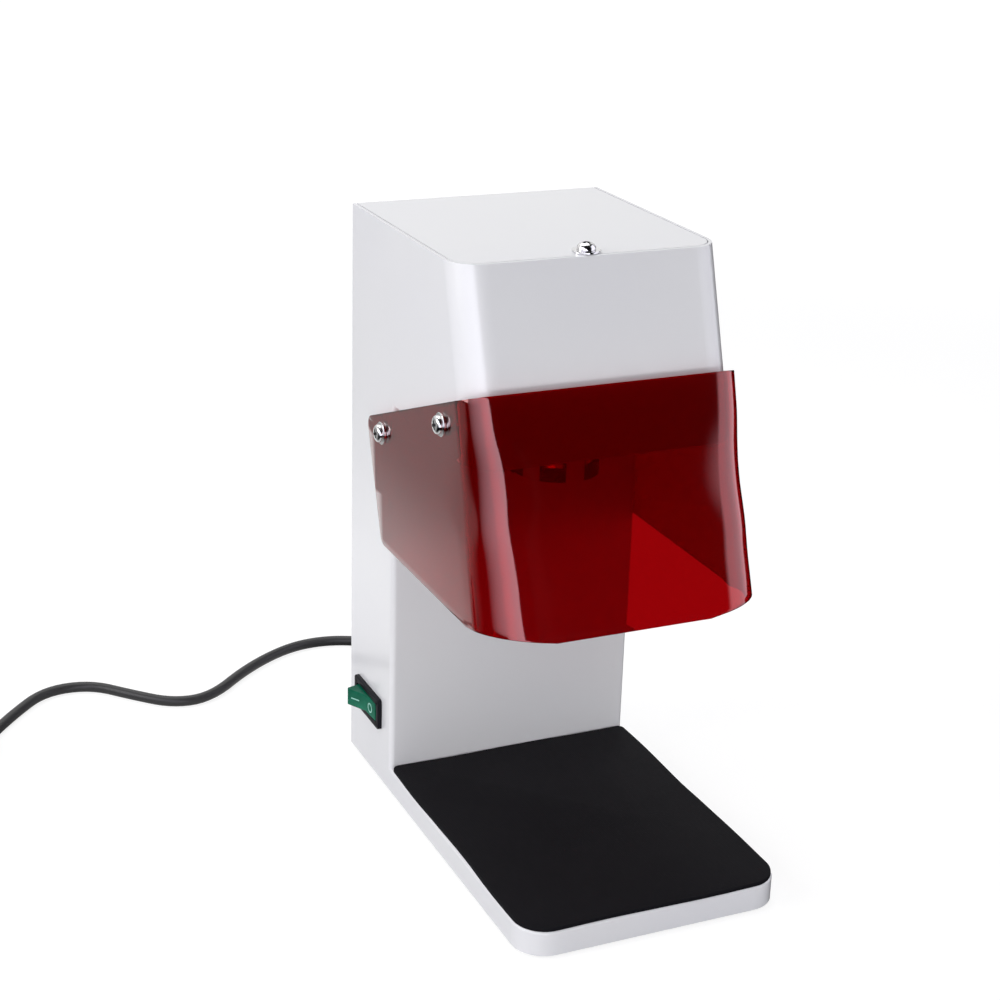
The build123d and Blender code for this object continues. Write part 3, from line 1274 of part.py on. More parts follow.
def build():
    washers, shield_bolts, shield_nuts = shield_fasteners()
    fan_bolts, fan_nuts = fan_fasteners()
    clamp_bolts, clamp_nuts = clamp_fasteners()
    lid_ring = placed(washer(LID_WASHER_D, M4 + HOLE_CLEARANCE), (0, LID_SCREW_Y, TOP_Z), (0, 0, 1))
    lid_bolt = pan_screw(M4, M4_HEAD_D, LID_HEAD_H, WASHER_T + LID_T + LEDGE_T + COVER_SCREW_GRIP)
    nodes = {
        "main_shell": main_shell(),
        "top_lid": top_lid(),
        "lid_washer": lid_ring,
        "lid_screw": placed(lid_bolt, (0, LID_SCREW_Y, TOP_Z + WASHER_T), (0, 0, 1)),
        "rear_cover": rear_cover(),
        "rear_cover_screws": cover_screws(),
        "base_plate": base_plate(),
        "rubber_feet": rubber_feet(),
        "foot_screws": foot_screws(),
        "work_mat": work_mat(),
        "light_shield": shield(),
        "shield_washers": washers,
        "shield_screws": shield_bolts,
        "shield_nuts": shield_nuts,
        "lamp_plate": lamp_plate(),
        "lamp_plate_screws": lamp_plate_screws(),
        "lamp_shroud": lamp_shroud(),
        "shroud_screws": shroud_screws(),
        "lamp_reflector": lamp_reflector(),
        "lamp_capsule": lamp_capsule(),
        "lamp_socket": lamp_socket(),
        "lamp_bracket": lamp_bracket(),
        "bracket_screws": bracket_screws(),
        "thermal_cutout": thermal_cutout(),
        "fan_frame": fan_frame(),
        "fan_stator": fan_stator(),
        "fan_rotor": fan_rotor(),
        "fan_screws": fan_bolts,
        "fan_nuts": fan_nuts,
        "transformer_shelf": transformer_shelf(),
        "transformer_core": transformer_core(),
        "transformer_winding": transformer_winding(),
        "transformer_clamp": transformer_clamp(),
        "clamp_screws": clamp_bolts,
        "clamp_nuts": clamp_nuts,
        "terminal_block": terminal_block(),
        "terminal_screws": terminal_screws(),
        "mains_wires": mains_wires(),
        "primary_wires": primary_wires(),
        "lamp_wires": lamp_wires(),
        "fan_wires": fan_wires(),
        "switch_body": switch_body(),
        "switch_rocker": switch_rocker(),
        "switch_tabs": switch_tabs(),
        "strain_relief": strain_relief(),
        "cord": cord(),
        "cord_coil": cord_coil(),
        "plug_body": plug_body(),
        "plug_pins": plug_pins(),
    }
    for name, pieces in nodes.items():
        save(name, pieces)
    print(len(nodes), "nodes")


build()
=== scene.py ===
"""Visible pieces, finishes and stage of a benchtop light curing unit.

The packed model is the fixed frame. Blender's lengths are metres, sizes written here are mostly
millimetres times MM, +Z is up, and -Y is the side that the user faces.
"""
import math

import bmesh
import bpy
from mathutils import Matrix, Vector


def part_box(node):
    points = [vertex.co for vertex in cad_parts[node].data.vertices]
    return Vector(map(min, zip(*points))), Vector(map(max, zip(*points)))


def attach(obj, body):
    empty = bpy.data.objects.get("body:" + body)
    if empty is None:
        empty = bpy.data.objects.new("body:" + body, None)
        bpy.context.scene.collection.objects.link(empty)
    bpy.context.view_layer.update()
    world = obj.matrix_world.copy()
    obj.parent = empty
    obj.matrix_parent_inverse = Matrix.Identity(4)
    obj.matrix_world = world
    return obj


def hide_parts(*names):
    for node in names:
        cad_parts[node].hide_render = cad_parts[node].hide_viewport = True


bl_info = {
    "name": "Light curing unit",
    "version": (1, 0, 0),
    "blender": (4, 5, 0),
    "location": "3D View > Sidebar > Curing unit",
    "description": "Builds the pieces, finishes and stage of a benchtop light curing unit",
    "category": "Add Mesh",
}

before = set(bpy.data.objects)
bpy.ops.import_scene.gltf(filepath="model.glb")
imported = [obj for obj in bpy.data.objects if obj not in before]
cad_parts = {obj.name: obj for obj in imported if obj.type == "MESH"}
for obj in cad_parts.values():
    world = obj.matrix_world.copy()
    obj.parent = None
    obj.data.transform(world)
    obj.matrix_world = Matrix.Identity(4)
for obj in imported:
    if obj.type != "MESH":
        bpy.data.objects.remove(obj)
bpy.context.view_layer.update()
MM = 0.001
SAME = 0.01 * MM           # lengths this close count as the same
SHARP = math.radians(60)
WHITE = (1.0, 1.0, 1.0)
HEART = (0.0, 0.0, 0.14)   # middle of the unit, which every lamp looks at

# Route of the lead from the strain relief to its coil, in metres.
LEAD_ROUTE = [
    (0.0, 0.1279, 0.026), (0.0, 0.144, 0.026), (0.0, 0.161, 0.0175), (-0.001, 0.177, 0.005),
    (-0.005, 0.193, 0.0026), (-0.017, 0.206, 0.0026), (-0.036, 0.213, 0.0026),
    (-0.057, 0.2105, 0.0026), (-0.084, 0.194, 0.0026), (-0.1103, 0.1685, 0.0026),
    (-0.130, 0.1687, 0.0026), (-0.1468, 0.185, 0.0026), (-0.1635, 0.2035, 0.0026),
    (-0.187, 0.204, 0.0026), (-0.206, 0.1845, 0.0026), (-0.224, 0.162, 0.0026),
]
# Coil of the spare lead: turned by so many degrees, radius and height, in millimetres.
COIL_PLAN = [
    (0, 33.0, 2.6), (300, 33.0, 2.6), (360, 27.8, 2.6), (660, 27.8, 2.6), (720, 22.6, 2.6),
    (960, 22.6, 2.6), (1020, 22.6, 7.8), (1260, 22.6, 7.8), (1320, 27.8, 7.8),
    (1620, 27.8, 7.8), (1680, 33.0, 7.8), (1920, 33.0, 7.8), (1980, 33.0, 13.0),
    (2190, 33.0, 13.0),
]
COIL_CENTRE = (-263.0, 162.4)
COIL_START = -35.0         # degrees
COIL_STEP = 30             # degrees between control points
COIL_SPREAD = 1.035        # control points stand this much outside the turns
# From the coil up into the plug, in metres.
LEAD_END = [
    (-0.263, 0.1284, 0.0135), (-0.2762, 0.1310, 0.0160), (-0.2850, 0.1400, 0.0200),
    (-0.2870, 0.1490, 0.02245), (-0.2870, 0.1550, 0.02245),
]
# Where the fasteners sit, in millimetres.
SHIELD_SCREWS = ((55.13, 174.72), (-11.34, 199.97))     # Y and Z of each side's two screws
SHIELD_HALF_WIDTH = 63.0
SCREW_BORE = 4.4
LID_SCREW_Y = -9.0
LID_TOP = 266.0
REAR_FACE = 98.9           # outer face of the rear cover
REAR_SCREW_X = 54.0
REAR_SCREW_LEVELS = (23, 135, 247)
# Y of the standing lamp's axis, in metres.
LAMP_AXIS_Y = 0.0115


# ================================================================= shaping by hand
def deselect_everything():
    """Leave edit mode and select nothing."""
    active = bpy.context.view_layer.objects.active
    if active is not None and active.mode != "OBJECT":
        bpy.ops.object.mode_set(mode="OBJECT")
    bpy.ops.object.select_all(action="DESELECT")


def take(*pieces):
    """Select these pieces alone, the last one active."""
    deselect_everything()
    for piece in pieces:
        piece.select_set(True)
    bpy.context.view_layer.objects.active = pieces[-1]


def named(piece, name):
    piece.name = name
    piece.data.name = name
    return piece


def settle(piece):
    """Put a piece's place, turn and size into its mesh."""
    take(piece)
    bpy.ops.object.transform_apply(location=True, rotation=True, scale=True)
    return piece


def middle(part):
    """Middle of a vertex, an edge or a face."""
    if isinstance(part, bmesh.types.BMVert):
        return part.co
    corners = [corner.co for corner in part.verts]
    return sum(corners, Vector()) / len(corners)


class Shaping:
    """Edit mode on one piece, for the length of a with block."""

    def __init__(self, piece):
        self.piece = piece

    def __enter__(self):
        take(self.piece)
        bpy.ops.object.mode_set(mode="EDIT")
        bpy.ops.mesh.select_mode(type="VERT")
        bpy.ops.mesh.select_all(action="DESELECT")
        return self

    def __exit__(self, *problem):
        bpy.ops.object.mode_set(mode="OBJECT")

    def pick(self, kind, test):
        """Select the vertices, edges or faces that pass a test."""
        bpy.ops.mesh.select_mode(type=kind)
        bpy.ops.mesh.select_all(action="DESELECT")
        mesh = bmesh.from_edit_mesh(self.piece.data)
        parts = {"VERT": mesh.verts, "EDGE": mesh.edges, "FACE": mesh.faces}[kind]
        for part in [part for part in parts if test(part)]:
            part.select_set(True)
        mesh.select_flush_mode()
        bmesh.update_edit_mesh(self.piece.data)

    def all(self):
        bpy.ops.mesh.select_all(action="SELECT")

    def bevel(self, width, segments, affect="EDGES", **more):
        bpy.ops.mesh.bevel(offset=width, segments=segments, affect=affect, **more)

    def resize(self, shares, centre):
        bpy.ops.transform.resize(value=shares, center_override=centre)

    def slice(self, point, normal, **more):
        """Cut all faces along a plane."""
        self.all()
        bpy.ops.mesh.bisect(plane_co=point, plane_no=normal, **more)

    def face_outwards(self):
        self.all()
        bpy.ops.mesh.normals_make_consistent(inside=False)

    def push(self, place, near, offset, reach):
        """Push the vertices near a place, and the others less and less out to the reach."""
        self.pick("VERT", lambda v: (v.co - place).length < near)
        bpy.ops.transform.translate(
            value=offset, use_proportional_edit=True, proportional_edit_falloff="SMOOTH",
            proportional_size=reach,
        )


def along(edge, axis):
    """Whether an edge runs along X (0), Y (1) or Z (2)."""
    run = edge.verts[1].co - edge.verts[0].co
    return abs(run[axis]) > 0.99 * run.length


def finish_with(piece, kind, **settings):
    """Give a piece a modifier and apply it."""
    take(piece)
    bpy.ops.object.modifier_add(type=kind)
    modifier = piece.modifiers[-1]
    for name, value in settings.items():
        setattr(modifier, name, value)
    bpy.ops.object.modifier_apply(modifier=modifier.name)


def discard(piece):
    take(piece)
    bpy.ops.object.delete()


def cut(piece, tool):
    """Cut one piece out of another, and throw the tool away."""
    finish_with(piece, "BOOLEAN", operation="DIFFERENCE", solver="EXACT", object=tool)
    discard(tool)


def smooth(piece, degrees=40):
    """Shade a piece smooth, except over edges sharper than this."""
    take(piece)
    bpy.ops.object.shade_smooth_by_angle(angle=math.radians(degrees))


def block(name, low, high):
    """A block between two corners, in millimetres."""
    centre = [(a + b) / 2 * MM for a, b in zip(low, high)]
    bpy.ops.mesh.primitive_cube_add(size=1.0, location=centre)
    piece = bpy.context.object
    piece.scale = [(b - a) * MM for a, b in zip(low, high)]
    return named(settle(piece), name)


def turned(name, profile, sides):
    """A piece turned on +Z from (radius, height) steps, in millimetres."""
    radius, height = profile[0]
    deselect_everything()
    bpy.ops.mesh.primitive_circle_add(
        vertices=sides, radius=radius * MM, fill_type="NOTHING", location=(0, 0, height * MM)
    )
    piece = named(settle(bpy.context.object), name)
    with Shaping(piece) as shaping:
        shaping.all()
        for (wide, low), (wider, high) in zip(profile, profile[1:]):
            lift = (0, 0, (high - low) * MM)
            bpy.ops.mesh.extrude_region_move(TRANSFORM_OT_translate={"value": lift})
            share = wider / wide
            shaping.resize((share, share, 1), (0, 0, 0))
        shaping.all()
        bpy.ops.mesh.remove_doubles(threshold=1e-6)
        bpy.ops.mesh.select_mode(type="EDGE")
        bpy.ops.mesh.select_all(action="DESELECT")
        bpy.ops.mesh.select_non_manifold()
        bpy.ops.mesh.fill_holes(sides=0)
        shaping.face_outwards()
    return piece


def aim(piece, place, direction):
    """Turn a piece's +Z along a direction and carry it to a place, in millimetres."""
    turn = Vector(direction).to_track_quat("Z", "Y")
    piece.matrix_world = Matrix.Translation(Vector(place) * MM) @ turn.to_matrix().to_4x4()
    return settle(piece)


def joined(name, pieces):
    """Several pieces made one."""
    take(*pieces)
    bpy.ops.object.join()
    return named(bpy.context.object, name)


def repeated(name, piece, places):
    """One piece out of copies of another, each with its place and the direction of its +Z."""
    copies = []
    for place, direction in places:
        take(piece)
        bpy.ops.object.duplicate(linked=False)
        copies.append(aim(bpy.context.object, place, direction))
    discard(piece)
    return joined(name, copies)


def coat(piece, *finishes, slot=0):
    """Give a new piece its finishes in slot order, and, if a slot is given, all its faces that slot."""
    piece.data.materials.clear()
    for name in finishes:
        piece.data.materials.append(finish(name))
    if slot:
        for face in piece.data.polygons:
            face.material_index = slot


def seat(piece, body, slot, *nodes):
    """Tie a finished piece to its body and hide the nodes it stands for; the slot is not used."""
    deselect_everything()
    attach(piece, body)
    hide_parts(*nodes)


def dress(name, nodes):
    """Give a finish to model nodes that stay as they are."""
    for node in nodes:
        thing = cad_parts[node]
        if not thing.material_slots:
            thing.data.materials.append(None)
        for place in thing.material_slots:
            place.material = finish(name)


# ================================================================= shader helpers
def maths(operation, swapped=False):
    """A method that joins a value and another number in a maths node."""
    def method(self, other):
        first, second = (other, self) if swapped else (self, other)
        made = self.mixing.node("Math", {0: first, 1: second}, operation=operation)
        return Value(self.mixing, made.outputs[0])
    return method


class Value:
    """A number out of a shader node, on which Python's operators work."""

    def __init__(self, mixing, socket):
        self.mixing = mixing
        self.socket = socket

    __add__ = __radd__ = maths("ADD")
    __sub__ = maths("SUBTRACT")
    __rsub__ = maths("SUBTRACT", swapped=True)
    __mul__ = __rmul__ = maths("MULTIPLY")
    __truediv__ = maths("DIVIDE")
    __pow__ = maths("POWER")
    __lt__ = maths("LESS_THAN")
    __gt__ = maths("GREATER_THAN")


class Mixing:
    """A material or a world while its nodes are being mixed."""

    def __init__(self, owner):
        owner.use_nodes = True
        self.owner = owner
        self.tree = owner.node_tree
        self.tree.nodes.clear()
        self.place = self.node("TexCoord").outputs["Object"]

    def node(self, kind, inputs=None, **settings):
        """A shader node: its settings first, then the values or links of its sockets."""
        made = self.tree.nodes.new("ShaderNode" + kind)
        for name, value in settings.items():
            setattr(made, name, value)
        for name, value in (inputs or {}).items():
            socket = made.inputs[name]
            if isinstance(value, Value):
                self.tree.links.new(value.socket, socket)
            elif isinstance(value, bpy.types.NodeSocket):
                self.tree.links.new(value, socket)
            elif socket.type == "RGBA":
                socket.default_value = (*value, 1.0)
            else:
                socket.default_value = value
        return made

    def grain(self, scale, detail=2.0, stretch=None):
        """Noise from 0 to 1, so many lumps to the metre, drawn out by a factor on each axis."""
        where = self.place
        if stretch:
            where = self.node("Mapping", {"Vector": where, "Scale": stretch}).outputs[0]
        inputs = {"Vector": where, "Scale": scale, "Detail": detail}
        return Value(self, self.node("TexNoise", inputs).outputs[0])

    def cells(self, scale):
        """Distance to the nearest of so many scattered points to the metre."""
        made = self.node("TexVoronoi", {"Vector": self.place, "Scale": scale})
        return Value(self, made.outputs["Distance"])

    def stripes(self, direction, scale, wander):
        """Bands across X or Y."""
        inputs = {"Vector": self.place, "Scale": scale, "Distortion": wander}
        made = self.node("TexWave", inputs, wave_type="BANDS", bands_direction=direction)
        return Value(self, made.outputs[1])

    def axes(self, vector):
        """The three parts of a vector."""
        made = self.node("SeparateXYZ", {0: vector})
        return [Value(self, socket) for socket in made.outputs]

    def ramp(self, value, low, high):
        """0 below low, 1 above high and smooth between."""
        inputs = {"Value": value, "From Min": low, "From Max": high}
        made = self.node("MapRange", inputs, interpolation_type="SMOOTHSTEP")
        return Value(self, made.outputs[0])

    def blend(self, share, first, second):
        """A colour part way between two."""
        return self.node("Mix", {0: share, 6: first, 7: second}, data_type="RGBA").outputs[2]

    def relief(self, height, depth, strength):
        """A bump of so many metres."""
        inputs = {"Height": height, "Distance": depth, "Strength": strength}
        return self.node("Bump", inputs).outputs[0]

    def surface(self, colour, roughness, normal=None, **more):
        """The material's shader."""
        inputs = {"Base Color": colour, "Roughness": roughness}
        for name, value in more.items():
            inputs[name.replace("_", " ")] = value
        if normal is not None:
            inputs["Normal"] = normal
        return self.node("BsdfPrincipled", inputs).outputs[0]

    def matt(self, colour):
        return self.node("BsdfDiffuse", {"Color": colour}).outputs[0]

    def glow(self, strength, colour=WHITE):
        return self.node("Emission", {"Color": colour, "Strength": strength}).outputs[0]

    def either(self, share, first, second):
        """The first shader where the share is 0, the second where it is 1."""
        return self.node("MixShader", {0: share, 1: first, 2: second}).outputs[0]

    def done(self, shader, kind="OutputMaterial"):
        self.node(kind, {"Surface": shader})
        return self.owner


# ================================================================= finishes
def white_paint(mix):
    """Baked white enamel on sheet steel, with a slight orange peel."""
    pale = tuple(bpy.context.scene.curing_finishes.paint)
    cool = (0.965 * pale[0], 0.965 * pale[1], 0.985 * pale[2])
    colour = mix.blend(mix.ramp(mix.grain(7.0), 0.35, 0.7), pale, cool)
    peel = mix.grain(420.0, 1.0)
    return mix.surface(
        colour, 0.27 + 0.05 * mix.grain(25.0), mix.relief(peel, 0.000004, 0.5),
        Coat_Weight=0.8, Coat_Roughness=0.14,
    )


def mat_rubber(mix):
    """Black rubber work mat with a fine cloth grain and a little dust."""
    weave = mix.stripes("X", 330.0, 0.6) * mix.stripes("Y", 330.0, 0.6)
    dust = mix.ramp(mix.grain(2600.0, 0.0), 0.70, 0.80) * mix.ramp(mix.grain(14.0), 0.4, 0.7)
    colour = mix.blend(dust * 0.3, (0.0070, 0.0066, 0.0082), (0.05, 0.047, 0.05))
    height = weave * 0.6 + mix.grain(900.0, 3.0) * 0.5
    return mix.surface(
        colour, 0.62 + 0.18 * mix.grain(18.0, 3.0), mix.relief(height, 0.00012, 0.7),
        Specular_IOR_Level=0.08,
    )


def clear_sheet(mix, tint, roughness, wear, **more):
    """A clear stuff that lets lamps through, tinted by its own colour."""
    glass = mix.surface(tint, roughness, wear, IOR=1.49, Transmission_Weight=1.0, **more)
    passed = (1.15 * tint[0], tint[1], tint[2])
    clear = mix.node("BsdfTransparent", {"Color": passed}).outputs[0]
    path = mix.node("LightPath").outputs
    soft = mix.either(path["Is Diffuse Ray"], glass, clear)
    return mix.either(path["Is Shadow Ray"], soft, clear)


def red_acrylic(mix):
    """Deep red cast acrylic with a soft sheen and fine scratches from wiping."""
    rub = mix.grain(900.0, stretch=(1.0, 1.0, 0.06))
    return clear_sheet(
        mix, tuple(bpy.context.scene.curing_finishes.acrylic), 0.02 + 0.03 * mix.grain(30.0, 3.0),
        mix.relief(rub, 0.000004, 0.5), Specular_IOR_Level=0.06, Metallic=0.14,
        Coat_Weight=0.8, Coat_Roughness=0.10,
    )


def lamp_glass(mix):
    """Quartz of the lamp's capsule."""
    return clear_sheet(mix, (0.95, 0.96, 0.96), 0.02 + 0.02 * mix.grain(90.0),
                       mix.relief(mix.grain(300.0), 0.00001, 0.4))


def bright_steel(mix):
    """Nickel-plated screws and washers."""
    blush = mix.grain(240.0, 3.0)
    colour = mix.blend(blush, (0.66, 0.66, 0.68), (0.82, 0.81, 0.80))
    rub = mix.grain(1500.0, stretch=(1.0, 0.2, 1.0))
    return mix.surface(colour, 0.08 + 0.14 * blush, mix.relief(rub, 0.00001, 0.5), Metallic=1.0)


def zinc_steel(mix):
    """Zinc-plated sheet and screws inside the cabinet."""
    spangle = mix.cells(180.0)
    colour = mix.blend(spangle, (0.52, 0.53, 0.55), (0.70, 0.70, 0.69))
    return mix.surface(
        colour, 0.32 + 0.2 * mix.grain(90.0), mix.relief(spangle, 0.00002, 0.4), Metallic=1.0
    )


def mirror_dish(mix):
    """Faceted cold mirror behind the lamp."""
    facet = mix.cells(260.0)
    colour = mix.blend(facet, (0.80, 0.80, 0.84), (0.90, 0.89, 0.86))
    return mix.surface(colour, 0.06 + 0.1 * facet, mix.relief(facet, 0.0003, 0.6), Metallic=1.0)


def green_lens(mix):
    """Clear green rocker in swirls of tone, lighter towards its bottom: painted light."""
    deep = tuple(bpy.context.scene.curing_finishes.rocker)
    light = tuple(min(1.0, 1.9 * part + 0.004) for part in deep)
    swirl = mix.ramp(mix.grain(190.0), 0.35, 0.75)
    # painted light: the lower part of the rocker is lighter
    low = mix.ramp(mix.axes(mix.place)[2], 0.0365, 0.0315)
    colour = mix.blend(swirl * 0.35 + low * 0.35, deep, light)
    return mix.surface(
        colour, 0.12 + 0.08 * swirl, Specular_IOR_Level=0.12, Coat_Weight=0.08,
        Coat_Roughness=0.06,
    )


def rocker_rim_painted_light(mix):
    """Edges of the rocker: a bright green painted highlight on top, painted shade below and at the far
    end.
    """
    shade = mix.ramp(mix.grain(150.0), 0.3, 0.7)
    # painted highlight: the rim is a far lighter green than the rocker
    colour = mix.blend(shade, (0.04, 0.42, 0.29), (0.12, 0.60, 0.46))
    back, up = mix.axes(mix.place)[1:]
    # painted shade: near black below and at the far end
    low = mix.ramp(up, 0.0322, 0.0308)
    far = mix.ramp(back, 0.0864, 0.0872)
    colour = mix.blend(low + far - low * far, colour, (0.0, 0.022, 0.014))
    return mix.surface(colour, 0.15 + 0.1 * shade, Specular_IOR_Level=0.3)


def iron_core(mix):
    """Varnished edges of the transformer's plates."""
    plates = mix.stripes("Y", 318.0, 0.2)
    colour = mix.blend(plates, (0.05, 0.045, 0.04), (0.17, 0.15, 0.13))
    return mix.surface(colour, 0.35 + 0.2 * mix.grain(120.0), mix.relief(plates, 0.0001, 0.6),
                       Metallic=0.6)


def lamp_shroud(mix):
    """Lamp shroud: enamelled outside; near black inside and in bands in line with its windows, painted
    shade for the dark seen through them.
    """
    scale = mix.ramp(mix.grain(130.0, 4.0), 0.35, 0.75)
    # painted shade: near black with a mottled grain, for the inside and the window bands
    black = mix.blend(scale, (0.012, 0.011, 0.011), (0.035, 0.031, 0.030))
    across, back = mix.axes(mix.place)[:2]
    back = back - LAMP_AXIS_Y
    outside = mix.ramp((across * across + back * back) ** 0.5, 0.0183, 0.0187)
    # painted shade in a band through the axis across each pair of windows
    for turn in (0, 60, 120):
        angle = math.radians(turn)
        side = across * math.sin(angle) - back * math.cos(angle)
        outside = outside * mix.ramp(side * side, 0.0052 ** 2, 0.0060 ** 2)
    colour = mix.blend(outside, black, tuple(bpy.context.scene.curing_finishes.paint))
    return mix.surface(colour, 0.3 + 0.2 * scale, mix.relief(scale, 0.00002, 0.4))


def moulded(dark, light, patches, grain, rough, bump, **more):
    """A finish in two shades, in patches, under a fine grain that dulls and roughens it."""
    def build(mix):
        fine = mix.grain(*grain)
        colour = mix.blend(mix.grain(patches), dark, light)
        return mix.surface(colour, rough[0] + rough[1] * fine, mix.relief(fine, *bump), **more)
    return build


def clouded(dark, light, cloud, rough, span=None, stretch=None, bump=None, **more):
    """A finish whose one pattern sets shade, gloss and relief."""
    def build(mix):
        share = mix.grain(*cloud, stretch=stretch)
        if span:
            share = mix.ramp(share, *span)
        colour = mix.blend(share, dark, light)
        normal = mix.relief(share, *bump) if bump else None
        return mix.surface(colour, rough[0] + rough[1] * share, normal, **more)
    return build


def wires(left, right):
    """Insulation of the loose wires, one colour each side of the middle."""
    def build(mix):
        colour = mix.blend(mix.axes(mix.place)[0] > 0.0, left, right)
        worn = mix.grain(500.0)
        return mix.surface(colour, 0.35 + 0.15 * worn, mix.relief(worn, 0.00004, 0.4))
    return build


FINISH_MAKERS = {maker.__name__: maker for maker in (
    white_paint, mat_rubber, red_acrylic, lamp_glass, bright_steel, zinc_steel, mirror_dish,
    green_lens, rocker_rim_painted_light, iron_core, lamp_shroud,
)}
FINISH_MAKERS.update(
    # matt black rubber of the feet
    dark_rubber=moulded(
        (0.013, 0.013, 0.014), (0.028, 0.027, 0.027), 40.0, (700.0, 3.0), (0.6, 0.2), (0.0001, 0.5)
    ),
    # moulded plastic with a fine spark grain
    black_plastic=moulded(
        (0.008, 0.007, 0.010), (0.014, 0.013, 0.017), 30.0, (1300.0,), (0.34, 0.16),
        (0.00003, 0.4), Specular_IOR_Level=0.08,
    ),
    lead_sheath=moulded(
        (0.014, 0.014, 0.015), (0.026, 0.025, 0.026), 25.0, (900.0,), (0.36, 0.16), (0.00005, 0.4)
    ),
    # unglazed lamp socket
    white_ceramic=moulded(
        (0.74, 0.71, 0.66), (0.83, 0.81, 0.77), 60.0, (1200.0,), (0.6, 0.2), (0.00006, 0.5)
    ),
    # cut edge of the acrylic, which gathers the light of the sheet
    acrylic_edge=clouded(
        (0.62, 0.30, 0.33), (0.85, 0.62, 0.64), (160.0,), (0.22, 0.1), (0.3, 0.7), Coat_Weight=0.6
    ),
    # painted shade: near black in the cross recess of each screw
    screw_recess=clouded(
        (0.012, 0.011, 0.011), (0.03, 0.028, 0.027), (600.0,), (0.4, 0.2), Specular_IOR_Level=0.2
    ),
    # moulded marks on the rocker
    pale_mark=clouded((0.20, 0.55, 0.45), (0.42, 0.75, 0.66), (400.0,), (0.3, 0.1)),
    # tabs of the switch and terminals
    brass_blade=clouded(
        (0.78, 0.58, 0.25), (0.50, 0.33, 0.13), (220.0, 3.0), (0.2, 0.25), (0.4, 0.8), Metallic=1.0
    ),
    # yellow tape over the winding, in laps
    coil_tape=clouded(
        (0.72, 0.52, 0.09), (0.80, 0.62, 0.15), (60.0, 1.0), (0.25, 0.15), (0.45, 0.55),
        (0.1, 0.1, 1.6), (0.00006, 0.5),
    ),
    # milky nylon of the terminal block
    clear_block=clouded((0.70, 0.69, 0.65), (0.80, 0.79, 0.76), (140.0, 3.0), (0.3, 0.15)),
    # brushed aluminium of the lamp plate
    alu_sheet=clouded(
        (0.60, 0.60, 0.61), (0.78, 0.78, 0.78), (420.0, 3.0), (0.28, 0.2), None, (0.05, 1.0, 1.0),
        (0.00002, 0.5), Metallic=1.0,
    ),
    mains_skin=wires((0.10, 0.045, 0.02), (0.02, 0.10, 0.35)),
    lamp_skin=wires((0.55, 0.53, 0.50), (0.62, 0.60, 0.57)),
    fan_skin=wires((0.45, 0.02, 0.02), (0.02, 0.02, 0.02)),
)


def finish(name):
    """The material of that name, mixed on first use."""
    found = bpy.data.materials.get("finish_" + name)
    if found:
        return found
    mix = Mixing(bpy.data.materials.new("finish_" + name))
    return mix.done(FINISH_MAKERS[name](mix))


# ================================================================= settings
def length_setting(name, description, default):
    return bpy.props.FloatProperty(
        name=name, description=description, default=default, unit="LENGTH", precision=4
    )


def colour_setting(name, description, default):
    return bpy.props.FloatVectorProperty(
        name=name, description=description, default=default, subtype="COLOR", size=3,
        min=0.0, max=1.0,
    )


class FinishSettings(bpy.types.PropertyGroup):
    """Main colours of the unit."""

    paint: colour_setting("Enamel", "Colour of the cabinet's enamel", (0.86, 0.86, 0.88))
    acrylic: colour_setting(
        "Acrylic", "What one thickness of the shield lets through", (0.385, 0.0010, 0.003)
    )
    rocker: colour_setting("Rocker", "Colour of the switch's rocker", (0.001, 0.105, 0.058))


class ShieldSettings(bpy.types.PropertyGroup):
    """Sizes of the bent acrylic shield."""

    thickness: length_setting("Thickness", "Thickness of the sheet", 0.0029)
    half_width: length_setting("Half width", "Outside half width", 0.063)
    top_bend: length_setting("Top bend", "Outside bend radius at the top edge", 0.015)
    bottom_bend: length_setting("Bottom bend", "Outside bend radius at the bottom edge", 0.021)
    corner: length_setting("Corner", "Radius of the rear corners", 0.005)
    dent: length_setting("Dent", "How far the bends dip where the head stops holding them", 0.0012)


class MatSettings(bpy.types.PropertyGroup):
    """Sizes of the work mat."""

    front_corner: length_setting("Front corner", "Radius of the front corners", 0.0134)
    rear_corner: length_setting("Rear corner", "Radius of the rear corners", 0.003)
    ripple: length_setting("Ripple", "How far the cut edge wanders", 0.0005)


class LeadSettings(bpy.types.PropertyGroup):
    """Sizes of the mains lead."""

    length: length_setting("Length", "Length from the strain relief to the plug", 1.5)
    diameter: length_setting("Diameter", "Diameter of the sheath", 0.0052)


class StageSettings(bpy.types.PropertyGroup):
    """Light and floor."""

    sky: colour_setting("Sky", "Light from all round", (0.16, 0.16, 0.18))
    floor: colour_setting("Floor", "Colour of the floor", (0.72, 0.72, 0.73))


# ================================================================= pieces
class CURING_OT_camera(bpy.types.Operator):
    """Stand the camera in front of the unit, to the user's left and above"""

    bl_idname = "curing.camera"
    bl_label = "Camera"

    place = (-0.36366, -0.72814, 0.46311)
    yaw = math.radians(24.5635)
    pitch = math.radians(20.7914)
    roll = math.radians(-1.7506)
    lens = 73.18

    def execute(self, context):
        flat = math.cos(self.pitch)
        ahead = Vector((math.sin(self.yaw) * flat, math.cos(self.yaw) * flat, -math.sin(self.pitch)))
        right = Vector((math.cos(self.yaw), -math.sin(self.yaw), 0))
        down = ahead.cross(right)
        right, down = (
            math.cos(self.roll) * right + math.sin(self.roll) * down,
            math.cos(self.roll) * down - math.sin(self.roll) * right,
        )
        data = bpy.data.cameras.new("camera")
        data.sensor_width = 36.0
        data.lens = self.lens
        data.clip_start = 0.01
        data.clip_end = 100.0
        camera = bpy.data.objects.new("camera", data)
        context.scene.collection.objects.link(camera)
        turn = Matrix((right, -down, -ahead)).transposed()
        camera.matrix_world = Matrix.Translation(self.place) @ turn.to_4x4()
        context.scene.camera = camera
        return {"FINISHED"}


